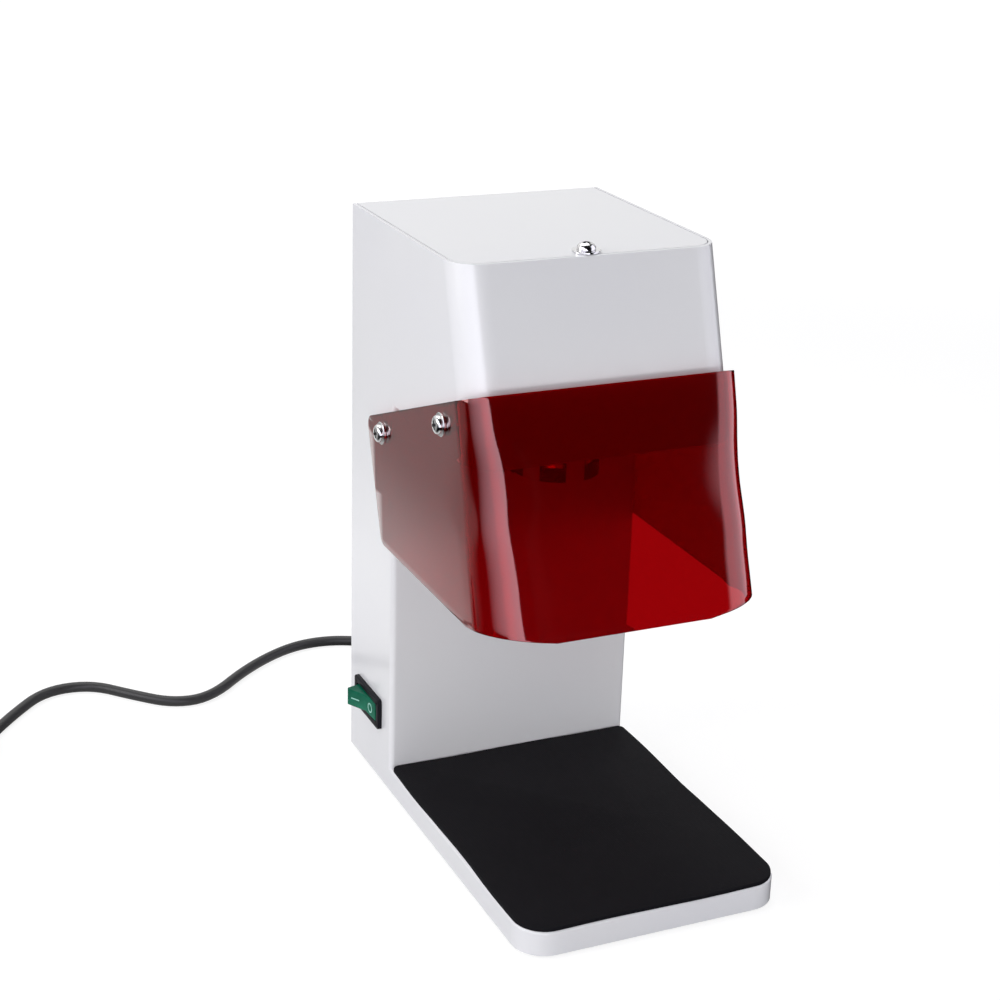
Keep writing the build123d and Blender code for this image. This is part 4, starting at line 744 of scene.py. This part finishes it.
def coil_point(turned_by):
    """Control point of the coil, at so many degrees round it."""
    for (start, radius, height), (stop, next_radius, next_height) in zip(COIL_PLAN, COIL_PLAN[1:]):
        if turned_by <= stop:
            share = (turned_by - start) / (stop - start)
            ease = share * share * (3 - 2 * share)
            wide = (radius + ease * (next_radius - radius)) * COIL_SPREAD
            angle = math.radians(COIL_START - turned_by)
            return (
                (COIL_CENTRE[0] + wide * math.cos(angle)) * MM,
                (COIL_CENTRE[1] + wide * math.sin(angle)) * MM,
                (height + ease * (next_height - height)) * MM,
            )
    raise ValueError("the coil's plan ends before " + str(turned_by))


class CURING_OT_lead(bpy.types.Operator):
    """Make the mains lead with its strain relief, its coil and its plug"""

    bl_idname = "curing.lead"
    bl_label = "Mains lead"

    plug_x, plug_z = -287.0, 22.45
    plug_rear, plug_nose = 153.4, 189.4
    plug_wide, plug_tall = 30.0, 13.7     # at the nose
    waist_wide = 20
    flat = 8                   # how far behind its nose the plug starts to narrow
    waist = 20                 # how far behind its nose it has narrowed to its waist
    grip_depth = (1.6, 1.4)    # of the grooves between the grip ribs, across and up
    pin_offset = 9.3

    def strain_relief(self):
        """Tapered moulded sleeve with ribs, screwed into the rear cover."""
        profile = [(5.2, -2.0), (5.2, -0.02), (7.4, 0.0), (7.5, 0.15), (7.5, 2.5), (7.2, 2.95),
                   (5.6, 3.1)]
        ribs = 7
        first_rib = 3.6
        pitch = 3.2
        for rib in range(ribs):
            start = first_rib + rib * pitch
            wide = 5.2 - rib * 1.5 / ribs
            groove = wide - 0.95
            profile += [(wide, start), (wide, start + 1.7), (wide - 0.2, start + 1.95),
                        (groove, start + 2.0), (groove, start + 2.95)]
        profile += [(3.75, 26.2), (3.7, 28.6), (3.45, 29.0), (2.65, 29.0), (2.65, 24.0)]
        sleeve = turned("strain_relief_sleeve", profile, 40)
        aim(sleeve, (0, REAR_FACE, 26), (0, 1, 0))
        smooth(sleeve)
        coat(sleeve, "lead_sheath")
        return sleeve

    def plug_girth(self, behind):
        """Width and height of the plug so far behind its nose."""
        taper = max(0.0, behind - self.flat)
        if behind <= self.waist:
            loss = self.plug_wide - self.waist_wide
            wide = self.plug_wide - loss * (taper / (self.waist - self.flat)) ** 1.2
        else:
            wide = self.waist_wide - 9.6 * (behind - self.waist) / 16
        return wide, self.plug_tall - 3.4 * (taper / 28)

    def plug_body(self):
        """Flat moulded plug with a waist and grip ribs."""
        x, z, rear, nose = self.plug_x, self.plug_z, self.plug_rear, self.plug_nose
        half_x, half_z = self.plug_wide / 2, self.plug_tall / 2
        body = block("plug_moulding", (x - half_x, rear, z - half_z), (x + half_x, nose, z + half_z))
        grip = [rear + 4 + 2 * step for step in range(8)]
        rows = grip + [nose - 14.5, nose - self.flat]
        with Shaping(body) as shaping:
            for row in rows:
                shaping.slice((0, row * MM, 0), (0, 1, 0))
            for row in [rear] + rows:
                shaping.pick("VERT", lambda v: abs(v.co.y - row * MM) < SAME)
                wide, tall = self.plug_girth(nose - row)
                if row in grip[1::2]:
                    wide, tall = wide - self.grip_depth[0], tall - self.grip_depth[1]
                shares = (wide / self.plug_wide, 1, tall / self.plug_tall)
                shaping.resize(shares, Vector((x, 0, z)) * MM)
            shaping.pick("EDGE", lambda e: abs(e.calc_face_angle(0)) > SHARP)
            shaping.bevel(2.0 * MM, 4, clamp_overlap=True)
            shaping.face_outwards()
        smooth(body)
        coat(body, "black_plastic")
        return body

    def plug_pins(self):
        """Two round pins, sleeved next to the plug."""
        blade = [(1.9, -3.0), (1.9, 10.0), (2.0, 10.05), (2.0, 17.6), (1.6, 18.7), (0.8, 19.0)]
        cover = [(2.0, -2.0), (2.0, 9.9), (1.95, 10.0), (1.85, 10.0)]
        pins = []
        for side in (-1, 1):
            for profile, look in ((cover, "black_plastic"), (blade, "bright_steel")):
                part = turned("pin", profile, 28)
                place = (self.plug_x + side * self.pin_offset, self.plug_nose, self.plug_z)
                smooth(aim(part, place, (0, 1, 0)))
                coat(part, look)
                pins.append(part)
        return joined("plug_contacts", pins)

    def execute(self, context):
        sizes = context.scene.curing_lead
        points = list(LEAD_ROUTE)
        points += [coil_point(step) for step in range(0, COIL_PLAN[-1][0] + 1, COIL_STEP)]
        points += LEAD_END
        data = bpy.data.curves.new("mains_lead", "CURVE")
        data.dimensions = "3D"
        data.resolution_u = 6
        data.bevel_depth = sizes.diameter / 2
        data.bevel_resolution = 5
        data.use_fill_caps = True
        spline = data.splines.new("NURBS")
        spline.points.add(len(points) - 1)
        for place, point in zip(spline.points, points):
            place.co = (*point, 1.0)
        spline.order_u = 3
        spline.use_endpoint_u = True
        lead = bpy.data.objects.new("mains_lead", data)
        context.scene.collection.objects.link(lead)
        data.materials.append(finish("lead_sheath"))
        sleeve = self.strain_relief()
        plug = self.plug_body()
        contacts = self.plug_pins()
        seat(lead, "cabinet", "lead_sheath", "cord", "cord_coil")
        seat(sleeve, "cabinet", "lead_sheath", "strain_relief")
        seat(plug, "cabinet", "black_plastic", "plug_body")
        seat(contacts, "cabinet", "bright_steel", "plug_pins")
        return {"FINISHED"}


class CURING_OT_shield(bpy.types.Operator):
    """Bend the acrylic shield and cut its edges"""

    bl_idname = "curing.shield"
    bl_label = "Light shield"

    low_level = 117.0
    high_level = 226.0
    top = (218.0, -36.5)       # level of the front top edge, and Y of the face there
    bottom = (123.0, -68.5)
    rear_top = (74.1, 176.5)
    rear_low = (55.1, 123.0)
    climb = 20.8               # slope of the upper edge, in degrees
    notch_reach = 19.6         # from each front corner to where the lower edge rises
    notch_tilt = 15.0
    spare = 100.0              # the trimming lines start this far away
    flank_end = 80.0           # rear of the sheet before it is trimmed
    rows = 36
    dents = (                  # side, level, share of the dent (below 0 inwards), reach
        (-1, 180.0, -0.8, 22.0), (1, 178.0, -1.0, 24.0), (1, 121.0, 0.6, 26.0),
        (-1, 121.0, 0.4, 24.0),
    )

    def share(self, level):
        """0 at the level of the front's top edge, 1 at its bottom edge."""
        return (self.top[0] - level) / (self.top[0] - self.bottom[0])

    def face_y(self, level):
        return self.top[1] + self.share(level) * (self.bottom[1] - self.top[1])

    def bend(self, sizes, level):
        """Outside radius of the front bends at one level."""
        return sizes.top_bend + self.share(level) * (sizes.bottom_bend - sizes.top_bend)

    def outline(self, sizes, level):
        """U-shaped line of the outside at one level."""
        front, rear = self.face_y(level) * MM, self.flank_end * MM
        bpy.ops.mesh.primitive_plane_add(size=1.0, location=(0, (front + rear) / 2, level * MM))
        line = bpy.context.object
        line.scale = (2 * sizes.half_width, rear - front, 1)
        settle(line)
        with Shaping(line) as shaping:
            shaping.pick("VERT", lambda v: v.co.y < 0)
            shaping.bevel(self.bend(sizes, level), 20, "VERTICES")
            shaping.all()
            bpy.ops.mesh.delete(type="ONLY_FACE")
            shaping.pick("EDGE", lambda e: along(e, 0) and middle(e).y > 0)
            bpy.ops.mesh.delete(type="EDGE")
            for axis, cuts in ((1, 13), (0, 11)):
                shaping.pick("EDGE", lambda e: along(e, axis) and e.calc_length() > 30 * MM)
                bpy.ops.mesh.subdivide(number_cuts=cuts)
        return line

    def bend_middle(self, sizes, side, level):
        """Point half way round a front bend at one level."""
        inset = self.bend(sizes, level) / MM * (1 - math.sqrt(0.5))
        place = (side * (sizes.half_width / MM - inset), self.face_y(level) + inset, level)
        return Vector(place) * MM

    def trim_planes(self, sizes):
        """Cutting planes of the sheet's edges: a point and a normal that points outwards."""
        def outwards(start, end):
            run = Vector((0, end[0] - start[0], end[1] - start[1])).normalized()
            return Vector((0, -run.z, run.y))

        rise = self.spare * math.tan(math.radians(self.climb))
        ahead = (self.rear_top[0] - self.spare, self.rear_top[1] + rise)
        corners = [ahead, self.rear_top, self.rear_low, (-self.spare, self.rear_low[1])]
        normals = [outwards(start, end) for start, end in zip(corners, corners[1:])]
        planes = [(Vector((0, a[0], a[1])) * MM, n) for a, n in zip(corners[1:], normals)]
        steps = 5
        for corner, first, second in zip(corners[1:3], normals, normals[1:]):
            tip = Vector((0, corner[0], corner[1])) * MM
            half = first.angle(second) / 2
            centre = tip - (first + second).normalized() * sizes.corner / math.cos(half)
            for step in range(1, steps):
                normal = first.slerp(second, step / steps)
                planes.append((centre + normal * sizes.corner, normal))
        lean = math.tan(math.radians(self.notch_tilt))
        for side in (-1, 1):
            out = Vector((side, -1, 0)).normalized()
            corner = Vector((side * sizes.half_width, self.bottom[1] * MM, self.bottom[0] * MM))
            start = corner - out * self.notch_reach * MM
            planes.append((start, (lean * out - Vector((0, 0, 1))).normalized()))
        return planes

    def execute(self, context):
        sizes = context.scene.curing_shield
        low = self.outline(sizes, self.low_level)
        high = self.outline(sizes, self.high_level)
        shield = joined("shield_sheet", [low, high])
        with Shaping(shield) as shaping:
            bpy.ops.mesh.select_mode(type="EDGE")
            shaping.all()
            bpy.ops.mesh.bridge_edge_loops(number_cuts=self.rows, interpolation="LINEAR")
            shaping.face_outwards()
            for side, level, amount, reach in self.dents:
                out = Vector((side, -1, 0)).normalized() * amount * sizes.dent
                place = self.bend_middle(sizes, side, level)
                shaping.push(place, 4 * MM, out, reach * MM)
            for point, normal in self.trim_planes(sizes):
                shaping.slice(point, normal, clear_outer=True)
            shaping.all()
            bpy.ops.mesh.remove_doubles(threshold=2e-5)
        coat(shield, "red_acrylic", "acrylic_edge")
        finish_with(
            shield, "SOLIDIFY", thickness=sizes.thickness, offset=-1.0, use_even_offset=True,
            material_offset_rim=1,
        )
        for y, z in SHIELD_SCREWS:
            drill = turned("drill", [(SCREW_BORE / 2, -70.0), (SCREW_BORE / 2, 70.0)], 32)
            cut(shield, aim(drill, (0, y, z), (1, 0, 0)))
        finish_with(
            shield, "BEVEL", width=0.25 * MM, segments=2, limit_method="ANGLE",
            angle_limit=SHARP, harden_normals=False,
        )
        smooth(shield, 30)
        seat(shield, "cabinet", "red_acrylic", "light_shield")
        return {"FINISHED"}


class CURING_OT_mat(bpy.types.Operator):
    """Cut the rubber work mat"""

    bl_idname = "curing.mat"
    bl_label = "Work mat"

    ripples = (                # place on the edge, and the push there in ripples
        (-59.4, 20, -0.9, 0), (-59.4, -32, 0.8, 0), (-59.4, -70, -0.7, 0), (59.4, 26, 0.8, 0),
        (59.4, -14, -0.9, 0), (59.4, -62, 0.6, 0), (-24, -100.9, 0, 0.8), (22, -100.9, 0, -0.9),
        (-30, 48.7, 0, -0.9), (12, 48.7, 0, 0.3), (40, 48.7, 0, -0.7),
    )
    ripple_level = 12.5
    ripple_reach = 22

    def execute(self, context):
        sizes = context.scene.curing_mat
        low, high = (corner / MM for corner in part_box("work_mat"))
        mat = block("work_mat_sheet", low, high)
        with Shaping(mat) as shaping:
            shaping.pick("EDGE", lambda e: along(e, 2) and middle(e).y < 0)
            shaping.bevel(sizes.front_corner, 16)
            shaping.pick("EDGE", lambda e: along(e, 2) and middle(e).y > high.y * MM - SAME)
            shaping.bevel(sizes.rear_corner, 5)
            shaping.pick("EDGE", lambda e: not along(e, 2) and e.calc_length() > 20 * MM)
            bpy.ops.mesh.subdivide(number_cuts=17)
            shaping.pick("EDGE", lambda e: not along(e, 2) and middle(e).z > high.z * MM - SAME)
            shaping.bevel(0.4 * MM, 3)
            for x, y, push_x, push_y in self.ripples:
                place = Vector((x, y, self.ripple_level)) * MM
                out = Vector((push_x, push_y, 0)) * sizes.ripple
                shaping.push(place, 5 * MM, out, self.ripple_reach * MM)
        smooth(mat)
        coat(mat, "mat_rubber")
        seat(mat, "cabinet", "dark_rubber", "work_mat")
        return {"FINISHED"}


def cross_screw(name, head, shank_d, shank_length, recess):
    """A screw with a cross recess: head steps, then a threaded shank below."""
    pitch = 0.7 if shank_d > 3.5 else 0.5
    turns = int(shank_length / pitch)
    root, crest = shank_d / 2 - 0.35 * pitch, shank_d / 2
    thread = [(root * 0.8, -shank_length - 0.2)]
    for turn in range(turns, 0, -1):
        thread += [(crest, -turn * pitch), (root, (0.5 - turn) * pitch)]
    screw = turned(name, thread + [(crest, 0)] + head, 36)
    coat(screw, "bright_steel", "screw_recess")
    across, wide, deep = recess
    top = head[-1][1]
    floor = top - deep
    for turn in (0, 90):
        arm = block("recess_arm", (-across / 2, -wide / 2, floor), (across / 2, wide / 2, top + 1))
        with Shaping(arm) as shaping:
            shaping.pick("FACE", lambda f: middle(f).z < floor * MM + 1e-6)
            shaping.resize((0.45, 0.7, 1), (0, 0, floor * MM))
        arm.rotation_euler.z = math.radians(turn + 20)
        coat(arm, "bright_steel", "screw_recess", slot=1)
        cut(screw, settle(arm))
    smooth(screw, 35)
    return screw


def plain_washer(name, outer, bore, thick):
    chamfer = 0.18
    inside, outside, top = bore / 2, outer / 2, thick - chamfer
    washer = turned(name, [
        (inside, chamfer), (inside + chamfer, 0), (outside - chamfer, 0), (outside, chamfer),
        (outside, top), (outside - chamfer, thick), (inside + chamfer, thick), (inside, top),
        (inside, chamfer),
    ], 56)
    smooth(washer, 30)
    coat(washer, "bright_steel")
    return washer


# Screw heads, as (radius, height) steps.
PAN_HEAD_M4 = [(3.75, 0), (4.0, 0.22), (4.0, 0.85), (3.86, 1.35), (3.5, 1.8), (2.9, 2.12),
               (2.1, 2.33), (1.2, 2.4), (0.4, 2.41)]
DOME_HEAD_M4 = [(3.8, 0), (4.0, 0.2), (3.98, 0.75), (3.75, 1.45), (3.3, 2.05), (2.65, 2.52),
                (1.85, 2.84), (0.95, 2.99), (0.3, 3.01)]
PAN_HEAD_M3 = [(2.6, 0), (2.8, 0.18), (2.8, 0.75), (2.65, 1.2), (2.3, 1.6), (1.7, 1.86),
               (0.9, 1.99), (0.3, 2.0)]


class CURING_OT_fasteners(bpy.types.Operator):
    """Fit the screws and washers that show"""

    bl_idname = "curing.fasteners"
    bl_label = "Screws and washers"

    def execute(self, context):
        thick = 1.0
        screw = cross_screw("shield_screw", PAN_HEAD_M4, 4.0, 9.4, (5.2, 1.4, 1.4))
        ring = plain_washer("shield_washer", 10.0, SCREW_BORE, thick)
        for name, node, piece, out in (
            ("shield_screw_set", "shield_screws", screw, SHIELD_HALF_WIDTH + thick),
            ("shield_washer_set", "shield_washers", ring, SHIELD_HALF_WIDTH),
        ):
            places = [((side * out, y, z), (side, 0, 0))
                      for side in (-1, 1) for y, z in SHIELD_SCREWS]
            seat(repeated(name, piece, places), "cabinet", "bright_steel", node)

        screw = cross_screw("lid_screw_domed", DOME_HEAD_M4, 4.0, 6.6, (5.4, 1.5, 1.8))
        ring = plain_washer("lid_washer_plain", 12.0, SCREW_BORE, thick)
        for piece, node, level in ((screw, "lid_screw", LID_TOP + thick), (ring, "lid_washer", LID_TOP)):
            aim(piece, (0, LID_SCREW_Y, level), (0, 0, 1))
            seat(piece, "cabinet", "bright_steel", node)

        screw = cross_screw("rear_screw", PAN_HEAD_M3, 3.0, 5.4, (3.2, 0.8, 1.0))
        places = [((side * REAR_SCREW_X, REAR_FACE, z), (0, 1, 0))
                  for side in (-1, 1) for z in REAR_SCREW_LEVELS]
        screws = repeated("rear_screw_set", screw, places)
        seat(screws, "cabinet", "bright_steel", "rear_cover_screws")
        return {"FINISHED"}


class CURING_OT_switch(bpy.types.Operator):
    """Make the rocker switch"""

    bl_idname = "curing.switch"
    bl_label = "Rocker switch"

    centre = (-60.0, 76.1, 34.6)
    pivot = (-58.5, 76.1, 34.6)
    tilt = 16.0                # degrees
    flange = (2.0, 31.5, 15.0)
    depth = 17.0               # of the housing behind its flange, and of the hole in it
    half_length = 11.0
    half_height = 4.3
    end_height = 7.0
    fold_height = 4.4
    marks = ((6.0, 1), (-5.4, -1))        # bar's and ring's place along the rocker, and side

    def hollow(self, shaping, side, inset, tall):
        """Inset the flange's face on one side of X, correct its height and draw it along +X."""
        shaping.pick("FACE", lambda f: side * f.normal.x > 0.9)
        bpy.ops.mesh.inset(thickness=inset * MM)
        shaping.resize((1, 1, tall), Vector(self.centre) * MM)
        run = (self.depth * MM, 0, 0)
        bpy.ops.mesh.extrude_region_move(TRANSFORM_OT_translate={"value": run})

    def housing(self):
        x, y, z = self.centre
        thick, wide, tall = self.flange
        body = block("switch_housing", (x - thick, y - wide / 2, z - tall / 2),
                     (x, y + wide / 2, z + tall / 2))
        with Shaping(body) as shaping:
            shaping.pick("EDGE", lambda e: along(e, 0))
            shaping.bevel(1.5 * MM, 5)
            self.hollow(shaping, 1, 1.95, 10.8 / 11.1)       # the outside, behind the flange
            self.hollow(shaping, -1, 2.75, 9.2 / 9.5)        # the hole for the rocker
            outer = (x - thick) * MM + SAME
            shaping.pick("EDGE", lambda e: middle(e).x < outer and not along(e, 0)
                         and e.calc_face_angle(0) > 0.5)
            shaping.bevel(0.45 * MM, 3)
        smooth(body)
        coat(body, "black_plastic")
        return body

    def rocker_marks(self):
        """Bar on one half of the rocker, ring on the other."""
        x, y, z = self.pivot
        rise = (self.end_height - self.fold_height) / self.half_length
        lie = Matrix.Rotation(math.radians(-90), 4, "Y")
        bar = block("bar_mark", (-0.3, -2.4, -0.1), (0.3, 2.4, 0.15))
        ring = turned(
            "ring_mark", [(1.75, -0.1), (1.75, 0.15), (2.35, 0.15), (2.35, -0.1), (1.75, -0.1)], 40
        )
        for mark, (across, side) in zip((bar, ring), self.marks):
            out = self.fold_height + abs(across) * rise
            tilt = Matrix.Rotation(side * math.atan(rise), 4, "Z")
            place = Vector((x - out, y + across, z)) * MM
            mark.matrix_world = Matrix.Translation(place) @ tilt @ lie
            settle(mark)
            coat(mark, "green_lens", "rocker_rim_painted_light", "pale_mark", slot=2)
        return [bar, ring]

    def rocker(self):
        x, y, z = self.pivot
        long, high, end = self.half_length, self.half_height, self.end_height
        body = block("switch_lens", (x - end, y - long, z - high), (x + 4.0, y + long, z + high))
        with Shaping(body) as shaping:
            shaping.slice((0, y * MM, 0), (0, 1, 0))
            shaping.pick("EDGE", lambda e: along(e, 2) and abs(middle(e).y - y * MM) < SAME
                         and middle(e).x < x * MM)
            bpy.ops.transform.translate(value=((end - self.fold_height) * MM, 0, 0))
            shaping.pick("EDGE", lambda e: middle(e).x < (x - 3) * MM
                         and e.calc_face_angle(0) > SHARP)
            shaping.bevel(0.55 * MM, 3, material=1)
        coat(body, "green_lens", "rocker_rim_painted_light", "pale_mark")
        smooth(body)
        body = joined("switch_lens", self.rocker_marks() + [body])
        centre = Vector(self.pivot) * MM
        turn = Matrix.Rotation(math.radians(self.tilt), 4, "Z")
        body.matrix_world = Matrix.Translation(centre) @ turn @ Matrix.Translation(-centre)
        return settle(body)

    def execute(self, context):
        seat(self.housing(), "cabinet", "black_plastic", "switch_body")
        seat(self.rocker(), "rocker", "green_plastic", "switch_rocker")
        return {"FINISHED"}


class CURING_OT_cabinet(bpy.types.Operator):
    """Finish the cabinet, its covers and everything inside it"""

    bl_idname = "curing.cabinet"
    bl_label = "Cabinet and inside parts"

    looks = {                  # finish: the model's nodes that it goes on
        "white_paint": ("main_shell", "top_lid", "rear_cover"),
        "zinc_steel": (
            "base_plate", "foot_screws", "shield_nuts", "lamp_plate_screws", "shroud_screws",
            "lamp_bracket", "bracket_screws", "fan_screws", "fan_nuts", "transformer_shelf",
            "transformer_clamp", "clamp_screws", "clamp_nuts", "thermal_cutout",
        ),
        "alu_sheet": ("lamp_plate",),
        "lamp_shroud": ("lamp_shroud",),
        "mirror_dish": ("lamp_reflector",),
        "lamp_glass": ("lamp_capsule",),
        "white_ceramic": ("lamp_socket",),
        "dark_rubber": ("rubber_feet",),
        "black_plastic": ("fan_frame", "fan_rotor"),
        "coil_tape": ("transformer_winding", "fan_stator"),
        "iron_core": ("transformer_core",),
        "clear_block": ("terminal_block",),
        "brass_blade": ("terminal_screws", "switch_tabs"),
        "mains_skin": ("mains_wires", "primary_wires"),
        "lamp_skin": ("lamp_wires",),
        "fan_skin": ("fan_wires",),
    }

    def execute(self, context):
        for name, nodes in self.looks.items():
            dress(name, nodes)
        return {"FINISHED"}


# ================================================================= stage
def face_heart(thing, place):
    """Stand a lamp or a sheet at a place, looking at the middle of the unit."""
    thing.location = place
    thing.rotation_euler = (Vector(HEART) - Vector(place)).to_track_quat("-Z", "Y").to_euler()


def lamp(name, place, size, power, shine=False):
    """A soft rectangular lamp, which shows in shiny surfaces if it's told to."""
    data = bpy.data.lights.new(name, "AREA")
    data.shape = "RECTANGLE"
    data.size, data.size_y = size
    data.energy = power
    thing = bpy.data.objects.new(name, data)
    bpy.context.scene.collection.objects.link(thing)
    face_heart(thing, place)
    thing.visible_glossy = shine


def softbox(name, place, size, shape):
    """A glowing sheet for the reflections alone; shape gives its strength from U and V."""
    bpy.ops.mesh.primitive_plane_add(size=1.0)
    sheet = bpy.context.object
    sheet.scale = (*size, 1)
    face_heart(sheet, place)
    named(settle(sheet), name)
    mix = Mixing(bpy.data.materials.new(name + "_glow"))
    u, v = mix.axes(mix.node("TexCoord").outputs["UV"])[:2]
    sheet.data.materials.append(mix.done(mix.glow(shape(mix, u, v), (0.97, 0.96, 1.08))))
    sheet.visible_camera = False
    sheet.visible_diffuse = False
    sheet.visible_transmission = False
    sheet.visible_shadow = False


def left_glow(mix, u, v):
    """Brightest at a leaning right edge, fading out to the left."""
    edge = 0.91 - 0.67 * v
    fade = (u - edge + 0.8) / 0.8
    inside = mix.ramp(edge - u, 0.0, 0.02) * (fade > 0.0)
    return 2.9 * fade * inside


def right_glow(mix, u, v):
    """Even, with a soft edge towards the front."""
    lean = 0.3 * (v - 0.5)
    front = mix.ramp(u - lean, 0.21, 0.33)
    return 1.35 * front * mix.ramp(0.95 - u, 0.0, 0.04) * mix.ramp(v, 0.0, 0.05)


def path_values(mix, *names):
    """What the light path says, by name."""
    path = mix.node("LightPath")
    return [Value(mix, path.outputs[name]) for name in names]


def seen_directly(mix):
    """1 on what is seen plainly or through clear stuff, 0 on what only gives light."""
    camera, passed, matt = path_values(
        mix, "Is Camera Ray", "Is Transmission Ray", "Diffuse Depth"
    )
    return (camera + passed > 0.5) * (matt < 0.5)


def mirrored_first(mix):
    """1 on what a shiny surface shows, if the light has met nothing matt on the way."""
    shiny, matt = path_values(mix, "Is Glossy Ray", "Diffuse Depth")
    return shiny * (matt < 0.5)


class CURING_OT_stage(bpy.types.Operator):
    """Lay the floor and set the lamps"""

    bl_idname = "curing.stage"
    bl_label = "Stage"

    def lay_floor(self, stage):
        """White paper, of which shiny surfaces show two patches: far behind and near the left."""
        deselect_everything()
        bpy.ops.mesh.primitive_plane_add(size=12.0, location=(0, 0, 0))
        floor = named(settle(bpy.context.object), "floor")
        mix = Mixing(bpy.data.materials.new("floor_paper"))
        x, y = mix.axes(mix.place)[:2]
        paler = tuple(stage.floor)
        plain = mix.matt(mix.blend(mix.grain(3.0), paler, tuple(0.98 * part for part in paler)))
        glow = mix.glow(0.84 + 0.16 * mix.ramp(x * x + y * y, 0.6, 2.2))
        shown = mix.node("AddShader", {0: mix.matt((0.26, 0.26, 0.26)), 1: glow}).outputs[0]
        far = 0.38 * mix.ramp(y, 0.08, 0.34) * mix.ramp(-1.0 * x, -0.3, 0.0)
        near = 0.60 * mix.ramp(-1.0 * x, 0.03, 0.06) * mix.ramp(x, -0.25, -0.13)
        near = near * mix.ramp(y, -0.2, -0.1)
        lit = mix.either(mirrored_first(mix), plain, mix.glow(far + near))
        # Light through rough clear stuff counts as glossy too, so what is seen comes last.
        floor.data.materials.append(mix.done(mix.either(seen_directly(mix), lit, shown)))

    def hang_sky(self, stage, scene):
        """Dim light all round, white where it is seen, and a bright rear half to be mirrored."""
        scene.world = bpy.data.worlds.new("studio")
        sky = Mixing(scene.world)
        x, y, z = sky.axes(sky.node("TexCoord").outputs["Generated"])
        above = sky.ramp(z, 0.0, 0.12)
        behind = sky.ramp(y, 0.30, 0.60) * sky.ramp(above - x, -0.2, 0.1)
        pale = sky.blend(above, (0.42, 0.42, 0.42), (0.95, 0.95, 0.95))
        dim = sky.blend(behind, (0.02, 0.02, 0.02), pale)
        tint = sky.blend(mirrored_first(sky), tuple(stage.sky), dim)
        tint = sky.blend(seen_directly(sky), tint, WHITE)
        light = sky.node("Background", {"Color": tint, "Strength": 1.0}).outputs[0]
        sky.done(light, "OutputWorld")

    def execute(self, context):
        stage = context.scene.curing_stage
        context.scene.view_settings.view_transform = "Standard"
        self.lay_floor(stage)
        self.hang_sky(stage, context.scene)
        lamp("key", (-1.35, 0.15, 0.75), (0.9, 0.9), 11.2, shine=True)
        lamp("top", (0.0, 0.55, 1.42), (1.2, 1.2), 9.8, shine=True)
        lamp("front_left", (-0.74, -0.98, 0.44), (0.50, 0.9), 4.15)
        lamp("front_right", (1.07, -0.64, 0.42), (0.55, 0.8), 2.0)
        lamp("front_low", (0.15, -1.20, 0.11), (1.3, 0.21), 3.0)
        softbox("softbox_left", (-0.35, -0.51, 0.40), (1.6, 0.9), left_glow)
        softbox("softbox_right", (0.552, -0.281, 0.40), (1.2, 0.9), right_glow)
        return {"FINISHED"}


# ================================================================= add-on
SETTINGS = {
    "curing_finishes": FinishSettings,
    "curing_shield": ShieldSettings,
    "curing_mat": MatSettings,
    "curing_lead": LeadSettings,
    "curing_stage": StageSettings,
}
STEPS = [
    CURING_OT_camera, CURING_OT_lead, CURING_OT_shield, CURING_OT_cabinet, CURING_OT_mat,
    CURING_OT_fasteners, CURING_OT_switch, CURING_OT_stage,
]


class CURING_PT_sidebar(bpy.types.Panel):
    """Lists the unit's settings and pieces"""

    bl_label = "Curing unit"
    bl_idname = "CURING_PT_sidebar"
    bl_space_type = "VIEW_3D"
    bl_region_type = "UI"
    bl_category = "Curing unit"

    def draw(self, context):
        for name, group in SETTINGS.items():
            box = self.layout.box()
            box.label(text=group.__doc__)
            for field in group.__annotations__:
                box.prop(getattr(context.scene, name), field)
        for step in STEPS:
            self.layout.operator(step.bl_idname)


def register():
    for made in [*SETTINGS.values(), *STEPS, CURING_PT_sidebar]:
        bpy.utils.register_class(made)
    for name, group in SETTINGS.items():
        setattr(bpy.types.Scene, name, bpy.props.PointerProperty(type=group))


def unregister():
    for name in SETTINGS:
        delattr(bpy.types.Scene, name)
    for made in reversed([*SETTINGS.values(), *STEPS, CURING_PT_sidebar]):
        bpy.utils.unregister_class(made)


def main():
    """Build everything in order."""
    register()
    for step in STEPS:
        group, action = step.bl_idname.split(".")
        getattr(getattr(bpy.ops, group), action)()


if __name__ == "__main__":
    main()
